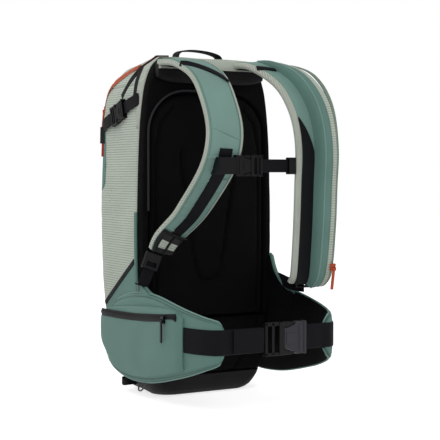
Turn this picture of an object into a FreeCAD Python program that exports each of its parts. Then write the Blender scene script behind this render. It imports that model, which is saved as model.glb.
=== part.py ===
import FreeCAD, Part
import math
import os
import re
from types import SimpleNamespace

# Avalanche airbag backpack.  Millimetres, +Z up.  The origin is the middle of the
# flat underside that the pack stands on.  +X is the wearer's left, the harness side
# is -Y and the front of the bag is +Y.

# Driving dimensions: alias, value, what it is.
SIZES = [
    ("pack_height", 546, "bag from its underside to its crown"),
    ("back_half_width", 124, "half the width of the back"),
    ("front_half_width", 108, "half the width of the front"),
    ("front_reach", 92, "bag front, ahead of the origin"),
    ("back_reach", 70, "bag back plane, behind the origin"),
    ("bag_corner", 22, "radius of the bag's upright front corners"),
    ("fabric", 1.6, "bag wall"),
    ("floor_thickness", 4, "stiffened floor of the base"),
    ("base_height", 30, "height of the reinforced base"),
    ("side_seam", 60, "half the width of the front panel"),
    ("crown_drop", 44, "height of the top panel"),
    ("clearance", 0.3, "gap between soft neighbours"),
    ("pad_thickness", 15, "foam of the back and lumbar pads"),
    ("lumbar_top", 124, "top edge of the lumbar pad"),
    ("door_half_width", 108, "half the width of the back panel door"),
    ("door_drop", 58, "crown down to the top edge of the door"),
    ("door_corner", 65, "radius of the door's top corners"),
    ("door_gap", 1.2, "zip gap round the door"),
    ("sheet_thickness", 1.5, "plastic frame sheet"),
    ("stay_width", 14, "aluminium stay"),
    ("stay_thickness", 3, "aluminium stay"),
    ("stay_spread", 62, "stay centre line from the middle"),
    ("yoke_thickness", 11, "shoulder yoke"),
    ("yoke_height", 41, "shoulder yoke"),
    ("yoke_half_width", 100, "shoulder yoke"),
    ("strap_width", 64, "shoulder strap"),
    ("strap_thickness", 12, "shoulder strap"),
    ("sleeve_width", 34, "trigger sleeve on the shoulder strap"),
    ("sleeve_depth", 30, "trigger sleeve at its deepest"),
    ("strap_webbing_width", 20, "sternum, compression and lower webbing"),
    ("belt_webbing_width", 38, "hip belt webbing"),
    ("webbing_thickness", 2.4, "all webbing"),
    ("belt_line", 281, "hip belt webbing, behind the origin"),
    ("belt_height", 110, "middle of the hip belt webbing"),
    ("belt_parting", 11, "joint face of the hip belt buckle"),
    ("belt_female_length", 40, "hip belt buckle"),
    ("belt_male_length", 34, "hip belt buckle"),
    ("belt_prong_length", 26, "hip belt buckle"),
    ("belt_buckle_thickness", 12, "hip belt buckle"),
    ("clip_female_length", 27, "small side-release buckle"),
    ("clip_male_length", 22, "small side-release buckle"),
    ("clip_prong_length", 16, "small side-release buckle"),
    ("clip_thickness", 9, "small side-release buckle"),
    ("buckle_wall", 6, "buckle beyond each edge of its webbing"),
    ("prong_width", 4, "buckle prongs"),
    ("sternum_line", 241, "sternum webbing, behind the origin"),
    ("sternum_height", 371, "middle of the sternum webbing"),
    ("sternum_parting", -23, "joint face of the sternum buckle"),
    ("wing_thickness", 11, "hip belt wing"),
    ("wing_reach", 129, "outer face of the wing beside the pack"),
    ("hip_pocket_depth", 9, "pocket on the wing"),
    ("pocket_fabric", 2, "stretch side pockets"),
    ("hem_height", 8, "elastic hem of the side pockets"),
    ("zip_width", 9, "zip tape"),
    ("zip_thickness", 1.2, "zip tape"),
    ("slider_length", 11, "zip slider"),
    ("slider_width", 8, "zip slider"),
    ("slider_thickness", 4, "zip slider"),
    ("pull_length", 32, "zip pull"),
    ("pull_width", 7, "zip pull"),
    ("pull_thickness", 2, "zip pull"),
    ("pull_pin", 1, "zip pull hinge pin radius"),
    ("running_fit", 0.05, "radial clearance of a turning fit"),
    ("housing_length", 150, "inflator housing along X"),
    ("housing_depth", 90, "inflator housing along Y"),
    ("housing_height", 75, "inflator housing along Z"),
    ("housing_drop", 121, "crown down to the top of the housing"),
    ("housing_wall", 3, "inflator housing"),
    ("fan_offset", -33, "fan axis from the middle"),
    ("fan_radius", 38, "fan chamber"),
    ("impeller_radius", 35, "fan"),
    ("impeller_height", 18, "fan"),
    ("blade_thickness", 2, "fan"),
    ("shaft_radius", 2.5, "fan shaft"),
    ("motor_radius", 15, "fan motor"),
    ("motor_height", 26, "fan motor"),
    ("duct_radius", 25, "inside of the outlet duct"),
    ("duct_wall", 2.5, "outlet duct"),
    ("duct_height", 27, "outlet duct"),
    ("flap_thickness", 1.6, "non-return flap"),
    ("flap_pin", 1.5, "non-return flap pin radius"),
    ("knob_radius", 14, "power knob"),
    ("knob_height", 11, "power knob"),
    ("spigot_radius", 4, "post that carries the power knob"),
    ("post_radius", 3, "post that carries the trigger lever"),
    ("lever_length", 34, "trigger lever"),
    ("lever_thickness", 4, "trigger lever"),
    ("cell_radius", 12, "supercapacitor"),
    ("cell_length", 52, "supercapacitor"),
    ("board_thickness", 1.6, "control board"),
    ("pouch_half_width", 78, "airbag pouch"),
    ("pouch_depth", 100, "airbag pouch along Y"),
    ("pouch_height", 72, "airbag pouch"),
    ("pouch_wall", 2, "airbag pouch"),
    ("airbag_inset", 0.5, "folded airbag inside its pouch"),
    ("cable_radius", 2, "trigger cable with its sheath"),
    ("cable_clearance", 0.5, "round the cable in its channel"),
    ("handle_radius", 8, "trigger handle"),
    ("handle_length", 62, "trigger handle"),
    ("handle_travel", 25, "pull of the trigger handle"),
    ("loop_thickness", 3, "haul loop"),
    ("loop_width", 20, "haul loop"),
    ("cord_radius", 1.3, "tie cord on the base"),
    ("screw_radius", 2, "housing screws"),
]
ALIASES = {alias for alias, value, note in SIZES}

doc = FreeCAD.newDocument("AirbagBackpack")
sheet = doc.addObject("Spreadsheet::Sheet", "Sizes")
for row, (alias, value, note) in enumerate(SIZES, start=1):
    sheet.set(f"A{row}", note)
    sheet.set(f"B{row}", str(value))
    sheet.setAlias(f"B{row}", alias)
doc.recompute()
s = SimpleNamespace(**{alias: float(sheet.get(alias)) for alias in ALIASES})

V = FreeCAD.Vector
X_AXIS, Y_AXIS, Z_AXIS = V(1, 0, 0), V(0, 1, 0), V(0, 0, 1)
FAR = 400.0                      # longer than anything that it has to cut
NODES = []                       # the finished sub-parts, in building order


# ---------------------------------------------------------------- helpers

def bound(text):
    """Expression in which every alias points at the size sheet."""
    return re.sub(r"[a-z_]+", lambda word: _cell(word.group(0)), text)


def _cell(word):
    return "Sizes." + word if word in ALIASES else word


def node(solid, label):
    """Registers a finished sub-part under the name of its file."""
    solid.Label = label
    NODES.append(solid)
    return solid


def box(name, lengths, corner):
    """Part::Box from three length expressions and its lowest corner."""
    solid = doc.addObject("Part::Box", name)
    for prop, text in zip(("Length", "Width", "Height"), lengths):
        solid.setExpression(prop, bound(text))
    for letter, text in zip("xyz", corner):
        solid.setExpression(f"Placement.Base.{letter}", bound(text))
    return solid


def cylinder(name, radius, height, foot, axis=Z_AXIS):
    """Part::Cylinder from expressions, standing on foot along axis."""
    solid = doc.addObject("Part::Cylinder", name)
    solid.setExpression("Radius", bound(radius))
    solid.setExpression("Height", bound(height))
    solid.Placement = FreeCAD.Placement(V(), FreeCAD.Rotation(Z_AXIS, axis))
    for letter, text in zip("xyz", foot):
        solid.setExpression(f"Placement.Base.{letter}", bound(text))
    return solid


def fused(name, parts):
    """One solid from several."""
    joined = doc.addObject("Part::MultiFuse", name)
    joined.Shapes = parts
    joined.Refine = True
    return joined


def minus(name, base, tools):
    """Base with the tools taken away."""
    cut = doc.addObject("Part::Cut", name)
    cut.Base = base
    cut.Tool = tools[0] if len(tools) == 1 else fused(name + "_tools", tools)
    return cut


def feature(shape, label):
    """Sub-part whose shape is worked out in code from the size sheet."""
    solid = doc.addObject("Part::Feature", label)
    solid.Shape = shape
    solid.Placement = shape.Placement
    return node(solid, label)


def group(solids, label):
    """Node of several separate solids."""
    return feature(Part.makeCompound(solids), label)


def origin_plane(body, role):
    return next(plane for plane in body.Origin.OriginFeatures if plane.Role == role)


def sketch_on(body, role, name):
    sketch = body.newObject("Sketcher::SketchObject", name)
    sketch.AttachmentSupport = [(origin_plane(body, role), "")]
    sketch.MapMode = "FlatFace"
    return sketch


def rectangle(sketch, width, height):
    """Rectangle centred on the sketch's origin, its sides bound to two expressions."""
    half = 10.0
    corners = [V(-half, -half, 0), V(half, -half, 0), V(half, half, 0), V(-half, half, 0)]
    for index in range(4):
        sketch.addGeometry(Part.LineSegment(corners[index], corners[(index + 1) % 4]), False)
    import Sketcher
    for index in range(4):
        sketch.addConstraint(Sketcher.Constraint("Coincident", index, 2, (index + 1) % 4, 1))
    for index, kind in enumerate(("Horizontal", "Vertical", "Horizontal", "Vertical")):
        sketch.addConstraint(Sketcher.Constraint(kind, index))
    sketch.addConstraint(Sketcher.Constraint("Symmetric", 0, 1, 2, 1, -1, 1))
    across = sketch.addConstraint(Sketcher.Constraint("DistanceX", 0, 1, 0, 2, 2 * half))
    along = sketch.addConstraint(Sketcher.Constraint("DistanceY", 1, 1, 1, 2, 2 * half))
    sketch.setExpression(f"Constraints[{across}]", bound(width))
    sketch.setExpression(f"Constraints[{along}]", bound(height))


def circle(sketch, radius, away=0.0):
    """Circle on the sketch's X axis, its radius bound to an expression."""
    import Sketcher
    sketch.addGeometry(Part.Circle(V(away, 0, 0), Z_AXIS, 5.0), False)
    if away:
        sketch.addConstraint(Sketcher.Constraint("PointOnObject", 0, 3, -1))
        sketch.addConstraint(Sketcher.Constraint("DistanceX", -1, 1, 0, 3, away))
    else:
        sketch.addConstraint(Sketcher.Constraint("Coincident", 0, 3, -1, 1))
    ring = sketch.addConstraint(Sketcher.Constraint("Radius", 0, 5.0))
    sketch.setExpression(f"Constraints[{ring}]", bound(radius))


def pad(body, sketch, length, name, midplane=False, reverse=False):
    made = body.newObject("PartDesign::Pad", name)
    made.Profile = sketch
    made.setExpression("Length", bound(length))
    made.Midplane = midplane
    made.Reversed = reverse
    return made


def pocket(body, sketch, length, name, reverse=False):
    made = body.newObject("PartDesign::Pocket", name)
    made.Profile = sketch
    made.setExpression("Length", bound(length))
    made.Reversed = reverse
    return made


def placed(body, base, rotation=None):
    """Puts a body at a place bound to three expressions."""
    if rotation:
        body.Placement = FreeCAD.Placement(V(), rotation)
    for letter, text in zip("xyz", base):
        body.setExpression(f"Placement.Base.{letter}", bound(text))


def arc_corner(before, corner, after, radius):
    """Start, middle and end of the arc that rounds a corner."""
    back = (before - corner).normalize()
    ahead = (after - corner).normalize()
    half = back.getAngle(ahead) / 2
    inward = (back + ahead).normalize()
    centre = corner + inward * (radius / math.sin(half))
    reach = radius / math.tan(half)
    return corner + back * reach, centre - inward * radius, corner + ahead * reach


def closed_wire(points, radii=None):
    """Closed wire through the points, with each corner rounded to its radius."""
    radii = radii or [0.0] * len(points)
    stops = []
    for index, corner in enumerate(points):
        if radii[index]:
            before, after = points[index - 1], points[(index + 1) % len(points)]
            stops.append(arc_corner(before, corner, after, radii[index]))
        else:
            stops.append((corner, None, corner))
    edges = []
    for index, (start, middle, end) in enumerate(stops):
        if middle:
            edges.append(Part.Arc(start, middle, end).toShape())
        following = stops[(index + 1) % len(stops)][0]
        edges.append(Part.LineSegment(end, following).toShape())
    return Part.Wire(edges)


def cord_wire(points):
    """Open path of straight runs joined by the largest tangent arcs that fit."""
    edges = []
    last = points[0]
    for before, corner, after in zip(points, points[1:], points[2:]):
        turn = (corner - before).getAngle(after - corner)
        shorter = min((corner - before).Length, (after - corner).Length)
        radius = 0.45 * shorter / math.tan(turn / 2)
        start, middle, end = arc_corner(before, corner, after, radius)
        edges.append(Part.LineSegment(last, start).toShape())
        edges.append(Part.Arc(start, middle, end).toShape())
        last = end
        print(f"  bend radius {radius:.1f}")
    edges.append(Part.LineSegment(last, points[-1]).toShape())
    return Part.Wire(edges)


def tube(path, radius):
    """Round solid swept along a path."""
    start = path.Edges[0]
    ring = Part.Wire(Part.makeCircle(radius, start.valueAt(0), start.tangentAt(0)))
    solid = path.makePipeShell([ring], True, True)
    volume = math.pi * radius ** 2 * path.Length
    print(f"  tube volume {solid.Volume:.0f}, section times length {volume:.0f}")
    return solid


def prism(points, radii, along):
    """Solid from a closed outline pushed along a vector."""
    return Part.Face(closed_wire(points, radii)).extrude(along)


def side_prism(points, x_low=-FAR, x_high=FAR, radii=None):
    """Solid from a (y, z) outline between two X planes."""
    return prism([V(x_low, y, z) for y, z in points], radii, V(x_high - x_low, 0, 0))


def front_prism(points, y_low=-FAR, y_high=FAR, radii=None):
    """Solid from an (x, z) outline between two Y planes."""
    return prism([V(x, y_low, z) for x, z in points], radii, V(0, y_high - y_low, 0))


def plan_prism(points, z_low=-FAR, z_high=2 * FAR, radii=None):
    """Solid from an (x, y) outline between two Z planes."""
    return prism([V(x, y, z_low) for x, y in points], radii, V(0, 0, z_high - z_low))


def beside(path, amounts):
    """A flat path with each point moved to its left by its own amount."""
    moved = []
    for index, point in enumerate(path):
        before = path[max(index - 1, 0)]
        after = path[min(index + 1, len(path) - 1)]
        run = math.hypot(after[0] - before[0], after[1] - before[1])
        normal = ((after[1] - before[1]) / run, (before[0] - after[0]) / run)
        moved.append((point[0] + normal[0] * amounts[index], point[1] + normal[1] * amounts[index]))
    return moved


def band(path, outer, inner):
    """Closed outline between two offsets of a path."""
    count = len(path)
    outer = outer if isinstance(outer, list) else [outer] * count
    inner = inner if isinstance(inner, list) else [inner] * count
    return beside(path, outer) + beside(path, inner)[::-1]


def mirrored(shape):
    """Copy on the other side of the middle plane."""
    return shape.mirror(V(), X_AXIS)


# ---------------------------------------------------------------- the bag

def bag_stations():
    """Height, half back, half front and front reach of each level of the bag."""
    shares = [
        (0.000, 0.77, 0.74, 0.55),
        (0.165, 0.93, 0.95, 0.88),
        (0.400, 1.01, 1.03, 1.00),
        (0.733, 0.99, 1.00, 1.00),
        (0.897, 0.92, 0.96, 0.91),
        (0.970, 0.81, 0.81, 0.54),
        (1.000, 0.68, 0.61, 0.10),
    ]
    for height, back, front, reach in shares:
        yield (height * s.pack_height, back * s.back_half_width,
               front * s.front_half_width, reach * s.front_reach)


def bag_at(height):
    """Half back, half front and front reach of the bag at a height."""
    stations = list(bag_stations())
    for low, high in zip(stations, stations[1:]):
        if height <= high[0]:
            break
    share = (height - low[0]) / (high[0] - low[0])
    return [a + (b - a) * share for a, b in zip(low[1:], high[1:])]


def side_of_bag(y, z):
    """Half width of the bag's side at a place."""
    half_back, half_front, reach = bag_at(z)
    share = (y + s.back_reach) / (reach + s.back_reach)
    return half_back + (half_front - half_back) * share


def bag_solid(grow, back_grow=0.0, floor=0.0, crown=0.0):
    """The bag's outside moved outward by grow, its back, floor and crown by their own amounts."""
    stations = list(bag_stations())
    wires = []
    for index, (height, half_back, half_front, reach) in enumerate(stations):
        if index == 0:
            height -= floor
        if index == len(stations) - 1:
            height += crown
        back = -s.back_reach - back_grow
        outline = [
            V(-half_back - grow, back, height),
            V(-half_front - grow, reach + grow, height),
            V(half_front + grow, reach + grow, height),
            V(half_back + grow, back, height),
        ]
        corner = s.bag_corner + grow
        wires.append(closed_wire(outline, [0.0, corner, corner, 0.0]))
    return Part.makeLoft(wires, True, True)


def skin(inner, outer, y_z_outline):
    """Layer on the bag's sides, inside a (y, z) outline."""
    layer = bag_solid(outer).cut(bag_solid(inner, 1.0, 1.0, 1.0))
    return layer.common(side_prism(y_z_outline))


def bag_panels():
    """Front, side, top and base panels, cut from one hollow bag along its seams."""
    outside = bag_solid(0.0)
    hollow = bag_solid(-s.fabric, 1.0, -s.floor_thickness, -s.fabric)
    shell = outside.cut(hollow)
    top_seam = s.pack_height - s.crown_drop
    width = 2 * FAR
    upper = Part.makeBox(width, width, width, V(-FAR, -FAR, top_seam))
    lower = Part.makeBox(width, width, s.base_height, V(-FAR, -FAR, 0))
    middle_height = top_seam - s.base_height
    front = Part.makeBox(2 * s.side_seam, FAR, middle_height, V(-s.side_seam, 0, s.base_height))
    left = Part.makeBox(FAR, width, middle_height, V(-s.side_seam - FAR, -FAR, s.base_height))
    feature(shell.common(front), "front_panel")
    feature(shell.common(left), "left_side_panel")
    feature(mirrored(shell.common(left)), "right_side_panel")
    feature(shell.common(upper), "top_panel")
    deep = s.pad_thickness
    tub = bag_solid(0.0, deep).cut(bag_solid(-s.fabric, deep - s.fabric, -s.floor_thickness, -s.fabric))
    feature(tub.common(lower), "base_panel")


def back_outline(low, high, inset):
    """(x, z) outline of the back between two heights."""
    heights = [low] + [z for z, *rest in bag_stations() if low < z < high] + [high]
    right = [(bag_at(z)[0] - inset, z) for z in heights]
    return right + [(-x, z) for x, z in reversed(right)]


def door_outline(grow):
    """(x, z) outline of the back panel door, and its corner radii."""
    half = s.door_half_width + grow
    low = s.lumbar_top + s.door_gap - grow
    high = s.pack_height - s.door_drop + grow
    corner = s.door_corner + grow
    return [(-half, low), (half, low), (half, high), (-half, high)], [0.0, 0.0, corner, corner]


def back_surround(cable_channel):
    """Strips each side of the door and the panel above it."""
    back = -s.back_reach
    plate = front_prism(back_outline(s.lumbar_top, s.pack_height - 1, 1.0), back - s.pad_thickness, back)
    outline, radii = door_outline(s.door_gap)
    plate = plate.cut(front_prism(outline, radii=radii)).cut(cable_channel)
    split = s.pack_height - s.door_drop - s.door_corner
    lower = Part.makeBox(2 * FAR, 2 * FAR, split, V(-FAR, -FAR, 0))
    group(plate.common(lower).Solids, "back_edges")
    feature(plate.cut(lower), "upper_back_panel")


def lumbar_pad():
    outline = back_outline(s.base_height, s.lumbar_top, 1.0)
    feature(front_prism(outline, -s.back_reach - s.pad_thickness, -s.back_reach), "lumbar_pad")


def door_body(label, inset, thickness, back_face):
    """Door-shaped plate: a pad with its two top corners rounded."""
    body = doc.addObject("PartDesign::Body", label)
    outline = sketch_on(body, "XZ_Plane", label + "_outline")
    height = "(pack_height - door_drop - lumbar_top - door_gap)"
    rectangle(outline, f"2 * (door_half_width - {inset})", f"{height} - 2 * {inset}")
    plate = pad(body, outline, thickness, label + "_pad", reverse=True)
    doc.recompute()
    tall = s.pack_height - s.door_drop - s.lumbar_top - s.door_gap
    edges = [f"Edge{index}" for index, edge in enumerate(body.Shape.Edges, start=1)
             if edge.BoundBox.YLength > 0.1 and edge.BoundBox.ZMin > 0.3 * tall]
    corners = body.newObject("PartDesign::Fillet", label + "_corners")
    corners.Base = (plate, edges)
    corners.setExpression("Radius", bound(f"door_corner - {inset}"))
    placed(body, ("0", back_face, f"lumbar_top + door_gap + {height} / 2"))
    return node(body, label)


def door():
    """Padded back panel door, its frame sheet and its two aluminium stays."""
    pad_back = "-back_reach - pad_thickness"
    door_body("door_pad", "0", "pad_thickness - sheet_thickness", pad_back)
    door_body("frame_sheet", "6", "sheet_thickness", "-back_reach - sheet_thickness")
    low = "lumbar_top + 16"
    tall = "pack_height - door_drop - lumbar_top - 62"
    stays = []
    for name, side in (("left", "-1"), ("right", "1")):
        middle = f"{side} * stay_spread - stay_width / 2"
        stays.append(box(name + "_stay", ("stay_width", "stay_thickness", tall),
                         (middle, "-back_reach", low)))
    pair = doc.addObject("Part::Compound", "frame_stays")
    pair.Links = stays
    node(pair, "frame_stays")


def yoke(cable_channel):
    """Padded yoke that both shoulder straps are sewn to."""
    front = -s.back_reach - s.pad_thickness
    top = s.pack_height - 1
    low = top - s.yoke_height
    narrow = 0.86 * s.yoke_half_width
    outline = [(-s.yoke_half_width, low), (s.yoke_half_width, low), (narrow, top), (-narrow, top)]
    plate = front_prism(outline, front - s.yoke_thickness, front)
    feature(plate.cut(cable_channel), "yoke")


def haul_loop():
    """Webbing grab loop standing on the crown."""
    top = s.pack_height
    foot = top + 0.9
    path = [(-48, foot), (-46, top + 13), (-32, top + 22), (24, top + 16), (38, top + 8), (40, foot)]
    outline = band(path, 0.0, s.loop_thickness)
    feature(front_prism(outline, -s.back_reach + 4, -s.back_reach + 4 + s.loop_width), "haul_loop")


# ---------------------------------------------------------------- shoulder harness

def high(share):
    """A height as a share of the pack's height."""
    return share * s.pack_height


def strap_top():
    """Where the straps leave the yoke."""
    return -s.back_reach - s.pad_thickness - s.yoke_thickness


def left_strap_path():
    """(y, z) of the outer face of the left strap, from the yoke down."""
    return [(strap_top(), high(0.991)), (-142, high(0.980)), (-196, high(0.932)),
            (-230, high(0.835)), (-239, high(0.751)), (-223, high(0.670)),
            (-172, high(0.568)), (-126, high(0.478)), (-111, high(0.430))]


def right_strap_path():
    """(y, z) of the outer face of the right strap, from the yoke down."""
    return [(strap_top(), high(0.991)), (-140, high(0.980)), (-203, high(0.925)),
            (-238, high(0.842)), (-250, high(0.733)), (-247, high(0.623)),
            (-244, high(0.498)), (-238, high(0.374)), (-229, high(0.341))]


def sleeve_depths():
    """How far the trigger sleeve stands off the strap at each point of its path."""
    shares = [0.30, 0.50, 0.75, 0.93, 1.0, 1.0, 0.97, 0.80, 0.40]
    return [share * s.sleeve_depth for share in shares]


def strap_outline(centres, widths):
    """(x, z) outline from centre and width at falling shares of the height."""
    left = [(x - w / 2, high(share)) for share, x, w in zip(STRAP_LEVELS, centres, widths)]
    right = [(x + w / 2, high(share)) for share, x, w in zip(STRAP_LEVELS, centres, widths)]
    return left + right[::-1]


STRAP_LEVELS = (1.10, 0.98, 0.90, 0.75, 0.54, 0.45, 0.30)


def left_strap_shape(outer, inner):
    w = s.strap_width
    outline = strap_outline((-72, -66, -64, -63, -74, -97, -118), (1.1 * w, 1.05 * w, w, w, w, 0.8 * w, 0.4 * w))
    path = left_strap_path()
    strap = side_prism(band(path, outer, inner), -2 * FAR, 0)
    return strap.common(front_prism(outline, -FAR, strap_top()))


def right_strap_shape(outer, inner, width_share=1.0, shift=0.0):
    w = s.strap_width * width_share
    centres = [x + shift for x in (70, 72, 82, 92, 92, 92, 92)]
    outline = strap_outline(centres, (w,) * 7)
    strap = side_prism(band(right_strap_path(), outer, inner), 0, 2 * FAR)
    return strap.common(front_prism(outline, -FAR, strap_top()))


def cable_route():
    """Points of the trigger cable from the handle, over the shoulder, to the inflator."""
    offsets = [-5.0, 3.0, 9.0, 12.0, 14.0, 15.0, 15.0, 12.0, 6.0]
    path = beside(right_strap_path(), offsets)
    axis_x, axis_y = handle_axis()
    top = s.pack_height
    return [
        V(axis_x, axis_y, handle_top() - 30),
        V(axis_x, axis_y, handle_top() + 22),
        V(axis_x - 6, path[3][0], path[3][1] + 4),
        V(axis_x - 16, path[2][0], path[2][1]),
        V(axis_x - 20, path[1][0], path[1][1] - 1),
        V(axis_x - 21, -s.back_reach - 24, path[0][1] - 2),
        V(axis_x - 21, -s.back_reach + 14, top - 15),
        V(axis_x - 20, -s.back_reach + 34, top - 40),
        V(axis_x - 20, -s.back_reach + 40, top - 72),
        V(axis_x - 22, -s.back_reach + 44, top - 98),
        V(axis_x - 36, -s.back_reach + 48, top - 109),
        V(axis_x - 52, -s.back_reach + 50, top - 110),
    ]


def handle_axis():
    """(x, y) of the trigger handle's own line."""
    return 107.5, -263.0


def handle_top():
    return high(0.700)


def sleeve_pocket():
    """Space in the sleeve that the handle moves in."""
    side = 2 * s.handle_radius + 3
    axis_x, axis_y = handle_axis()
    tall = s.handle_length + s.handle_travel + 8
    return Part.makeBox(side, side, tall, V(axis_x - side / 2, axis_y - side / 2, handle_top() + 4 - tall))


def shoulder_straps(cable_channel):
    """Both straps, and the zipped sleeve that stows the trigger handle."""
    feature(left_strap_shape(0.0, -s.strap_thickness), "left_shoulder_strap")
    right = right_strap_shape(0.0, -s.strap_thickness).cut(cable_channel)
    feature(right, "right_shoulder_strap")
    share = s.sleeve_width / s.strap_width
    shift = (s.strap_width - s.sleeve_width) / 2
    sleeve = right_strap_shape(sleeve_depths(), 0.0, share, shift)
    feature(sleeve.cut(sleeve_pocket()).cut(cable_channel), "strap_sleeve")


def daisy_chain():
    """Webbing sewn down the front of the left strap."""
    strip = left_strap_shape(s.webbing_thickness, 0.0)
    half = s.strap_webbing_width / 2
    window = front_prism([(-64 - half, high(0.735)), (-64 + half, high(0.735)),
                          (-74 + half, high(0.54)), (-92 + half, high(0.47)),
                          (-92 - half, high(0.47)), (-74 - half, high(0.54))])
    feature(strip.common(window), "strap_webbing")


def load_lifters():
    """Bands over the top of each strap that take the load lifters."""
    left = left_strap_shape(2 * s.webbing_thickness, 0.0)
    medial = right_strap_shape(2 * s.webbing_thickness, 0.0, 0.36, -0.3 * s.strap_width)
    slice_box = Part.makeBox(2 * FAR, s.strap_webbing_width, FAR, V(-FAR, -178, high(0.80)))
    group([left.common(slice_box), medial.common(slice_box)], "load_lifters")


# ---------------------------------------------------------------- buckles and webbing

def buckle(prefix, webbing, female_label, male_label, place):
    """Side-release buckle.  Built with its joint face at X = 0 and the male half on +X."""
    long_female, long_male = f"{prefix}_female_length", f"{prefix}_male_length"
    prong = f"{prefix}_prong_length"
    thick = "belt_buckle_thickness" if prefix == "belt" else "clip_thickness"
    tall = f"({webbing} + 2 * buckle_wall)"
    body = box(female_label + "_body", (long_female, thick, tall),
               (f"-{long_female}", f"-{thick} / 2", f"-{tall} / 2"))
    mouth = box(female_label + "_mouth", (f"{prong} + 2", f"{thick} - 4", f"{tall} - 5"),
                (f"-{prong} - 1.5", f"-({thick} - 4) / 2", f"-({tall} - 5) / 2"))
    female = minus(female_label, body, [mouth])
    frame = box(male_label + "_frame", (long_male, thick, tall),
                ("clearance", f"-{thick} / 2", f"-{tall} / 2"))
    tunnel = box(male_label + "_tunnel", (long_male, "webbing_thickness + 0.8", f"{webbing} + 1"),
                 ("clearance + 1.5", "-webbing_thickness / 2 - 0.4", f"-{webbing} / 2 - 0.5"))
    prongs = []
    for index, seat in enumerate((f"-({tall} - 7) / 2", "-prong_width / 2", f"({tall} - 7) / 2 - prong_width")):
        prongs.append(box(f"{male_label}_prong{index}", (f"{prong} + 1", "2.6", "prong_width"),
                          (f"-{prong}", "-1.3", seat)))
    male = minus(male_label, fused(male_label + "_whole", [frame] + prongs), [tunnel])
    for half in (female, male):
        half.Placement = place
    node(male, male_label)
    return female


def frame_of(along, up, base):
    """Placement whose X runs along a direction and whose Z is nearest to up."""
    third = up.cross(along).normalize()
    upward = along.cross(third)
    turn = FreeCAD.Matrix(along.x, third.x, upward.x, base.x, along.y, third.y, upward.y, base.y,
                          along.z, third.z, upward.z, base.z, 0, 0, 0, 1)
    return FreeCAD.Placement(turn)


def webbing_box(width, start, length, place):
    """Flat webbing along the X of a placement."""
    strip = Part.makeBox(length, s.webbing_thickness, width, V(start, -s.webbing_thickness / 2, -width / 2))
    return strip.transformed(place.toMatrix(), True)


def hip_belt():
    """Webbing and buckle that close the hip belt in front."""
    place = frame_of(V(-1, 0, 0), Z_AXIS, V(s.belt_parting, -s.belt_line, s.belt_height))
    female = buckle("belt", "belt_webbing_width", "belt_female", "belt_male", place)
    node(female, "belt_female")
    tip = wing_tip()
    inner_end = s.belt_male_length - 2
    left_length = tip + 14 + s.belt_parting - inner_end
    left = webbing_box(s.belt_webbing_width, inner_end, left_length, place)
    right_length = tip + 14 - s.belt_parting - s.belt_female_length
    right = webbing_box(s.belt_webbing_width, -s.belt_female_length - right_length, right_length, place)
    group([left, right], "belt_webbing")


def sternum():
    """Sternum strap: a clip on each shoulder strap, webbing and buckle."""
    place = frame_of(V(1, 0, 0), Z_AXIS, V(s.sternum_parting, -s.sternum_line, s.sternum_height))
    female = buckle("clip", "strap_webbing_width", "sternum_female", "sternum_male", place)
    node(female, "sternum_female")
    tall = s.strap_webbing_width + 6
    low = s.sternum_height - tall / 2
    female_end = s.sternum_parting - s.clip_female_length
    left = Part.makeBox(30, 40, tall, V(female_end - 30, -s.sternum_line - s.clip_thickness / 2, low))
    left = left.cut(left_strap_shape(FAR / 10, -FAR / 10).common(left_strap_shape(s.webbing_thickness, -FAR / 10)))
    left = left.cut(side_prism([(-s.sternum_line + 22, 0), (0, 0), (0, 2 * FAR), (-s.sternum_line + 22, 2 * FAR)]))
    strap_edge = 92 - s.strap_width / 2
    right = Part.makeBox(13, 10, tall, V(strap_edge - 13, -s.sternum_line - 5, low))
    place_end = strap_edge - 13 - s.sternum_parting
    start = s.clip_male_length - 2
    group([max(left.Solids, key=lambda piece: piece.Volume), right], "sternum_clips")
    feature(webbing_box(s.strap_webbing_width, start, place_end - start, place), "sternum_webbing")


def lower_straps():
    """Adjusting webbing from the foot of each strap to the bag, with a ladder lock on each."""
    anchors = []
    locks = []
    wide = s.strap_webbing_width
    long, thick = LADDER_LOCK_LENGTH, LADDER_LOCK_THICKNESS
    back = -s.back_reach - s.pad_thickness
    anchor_z = high(0.335)
    for path, side, strap_x, drop in ((left_strap_path(), -1, 113, 0.5), (right_strap_path(), 1, 92, thick / 2 + 0.4)):
        foot = V(side * strap_x, path[-1][0] + s.strap_thickness / 2, path[-1][1] - drop)
        anchor = V(side * (s.back_half_width + 6), back - 14, anchor_z)
        run = anchor - foot
        place = frame_of(V(run).normalize(), X_AXIS, foot)
        lock = Part.makeBox(long, thick, wide + 8, V(0.6, -thick / 2, -wide / 2 - 4))
        slot = Part.makeBox(long + 2, s.webbing_thickness + 0.6, wide + 1,
                            V(0, -s.webbing_thickness / 2 - 0.3, -wide / 2 - 0.5))
        window = Part.makeBox(7, 20, wide - 2, V(long - 11, -10, -wide / 2 + 1))
        locks.append(lock.cut(slot).cut(window).transformed(place.toMatrix(), True))
        strip = webbing_box(wide, 2, run.Length - 2, place)
        tab_x = side * (s.back_half_width + 3) - 7
        tab = Part.makeBox(14, 36, 12, V(tab_x, back - 14, anchor_z - 6))
        strip = strip.fuse(tab).cut(outside_bag()).cut(back_keepout())
        anchors.append(max(strip.Solids, key=lambda piece: piece.Volume))
    group(anchors, "lower_webbing")
    group(locks, "ladder_locks")


LADDER_LOCK_LENGTH = 26.0
LADDER_LOCK_THICKNESS = 7.0


def outside_bag():
    """The bag and its side pockets, with a little room round them."""
    return bag_solid(s.pocket_fabric + 2 * s.clearance, 0.0, 1, 1)


def back_keepout():
    """Space of the back pads, with a little room."""
    outline = back_outline(s.base_height, s.pack_height - 1, 0.6)
    return front_prism(outline, -s.back_reach - s.pad_thickness - s.clearance, -s.back_reach)


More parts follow.
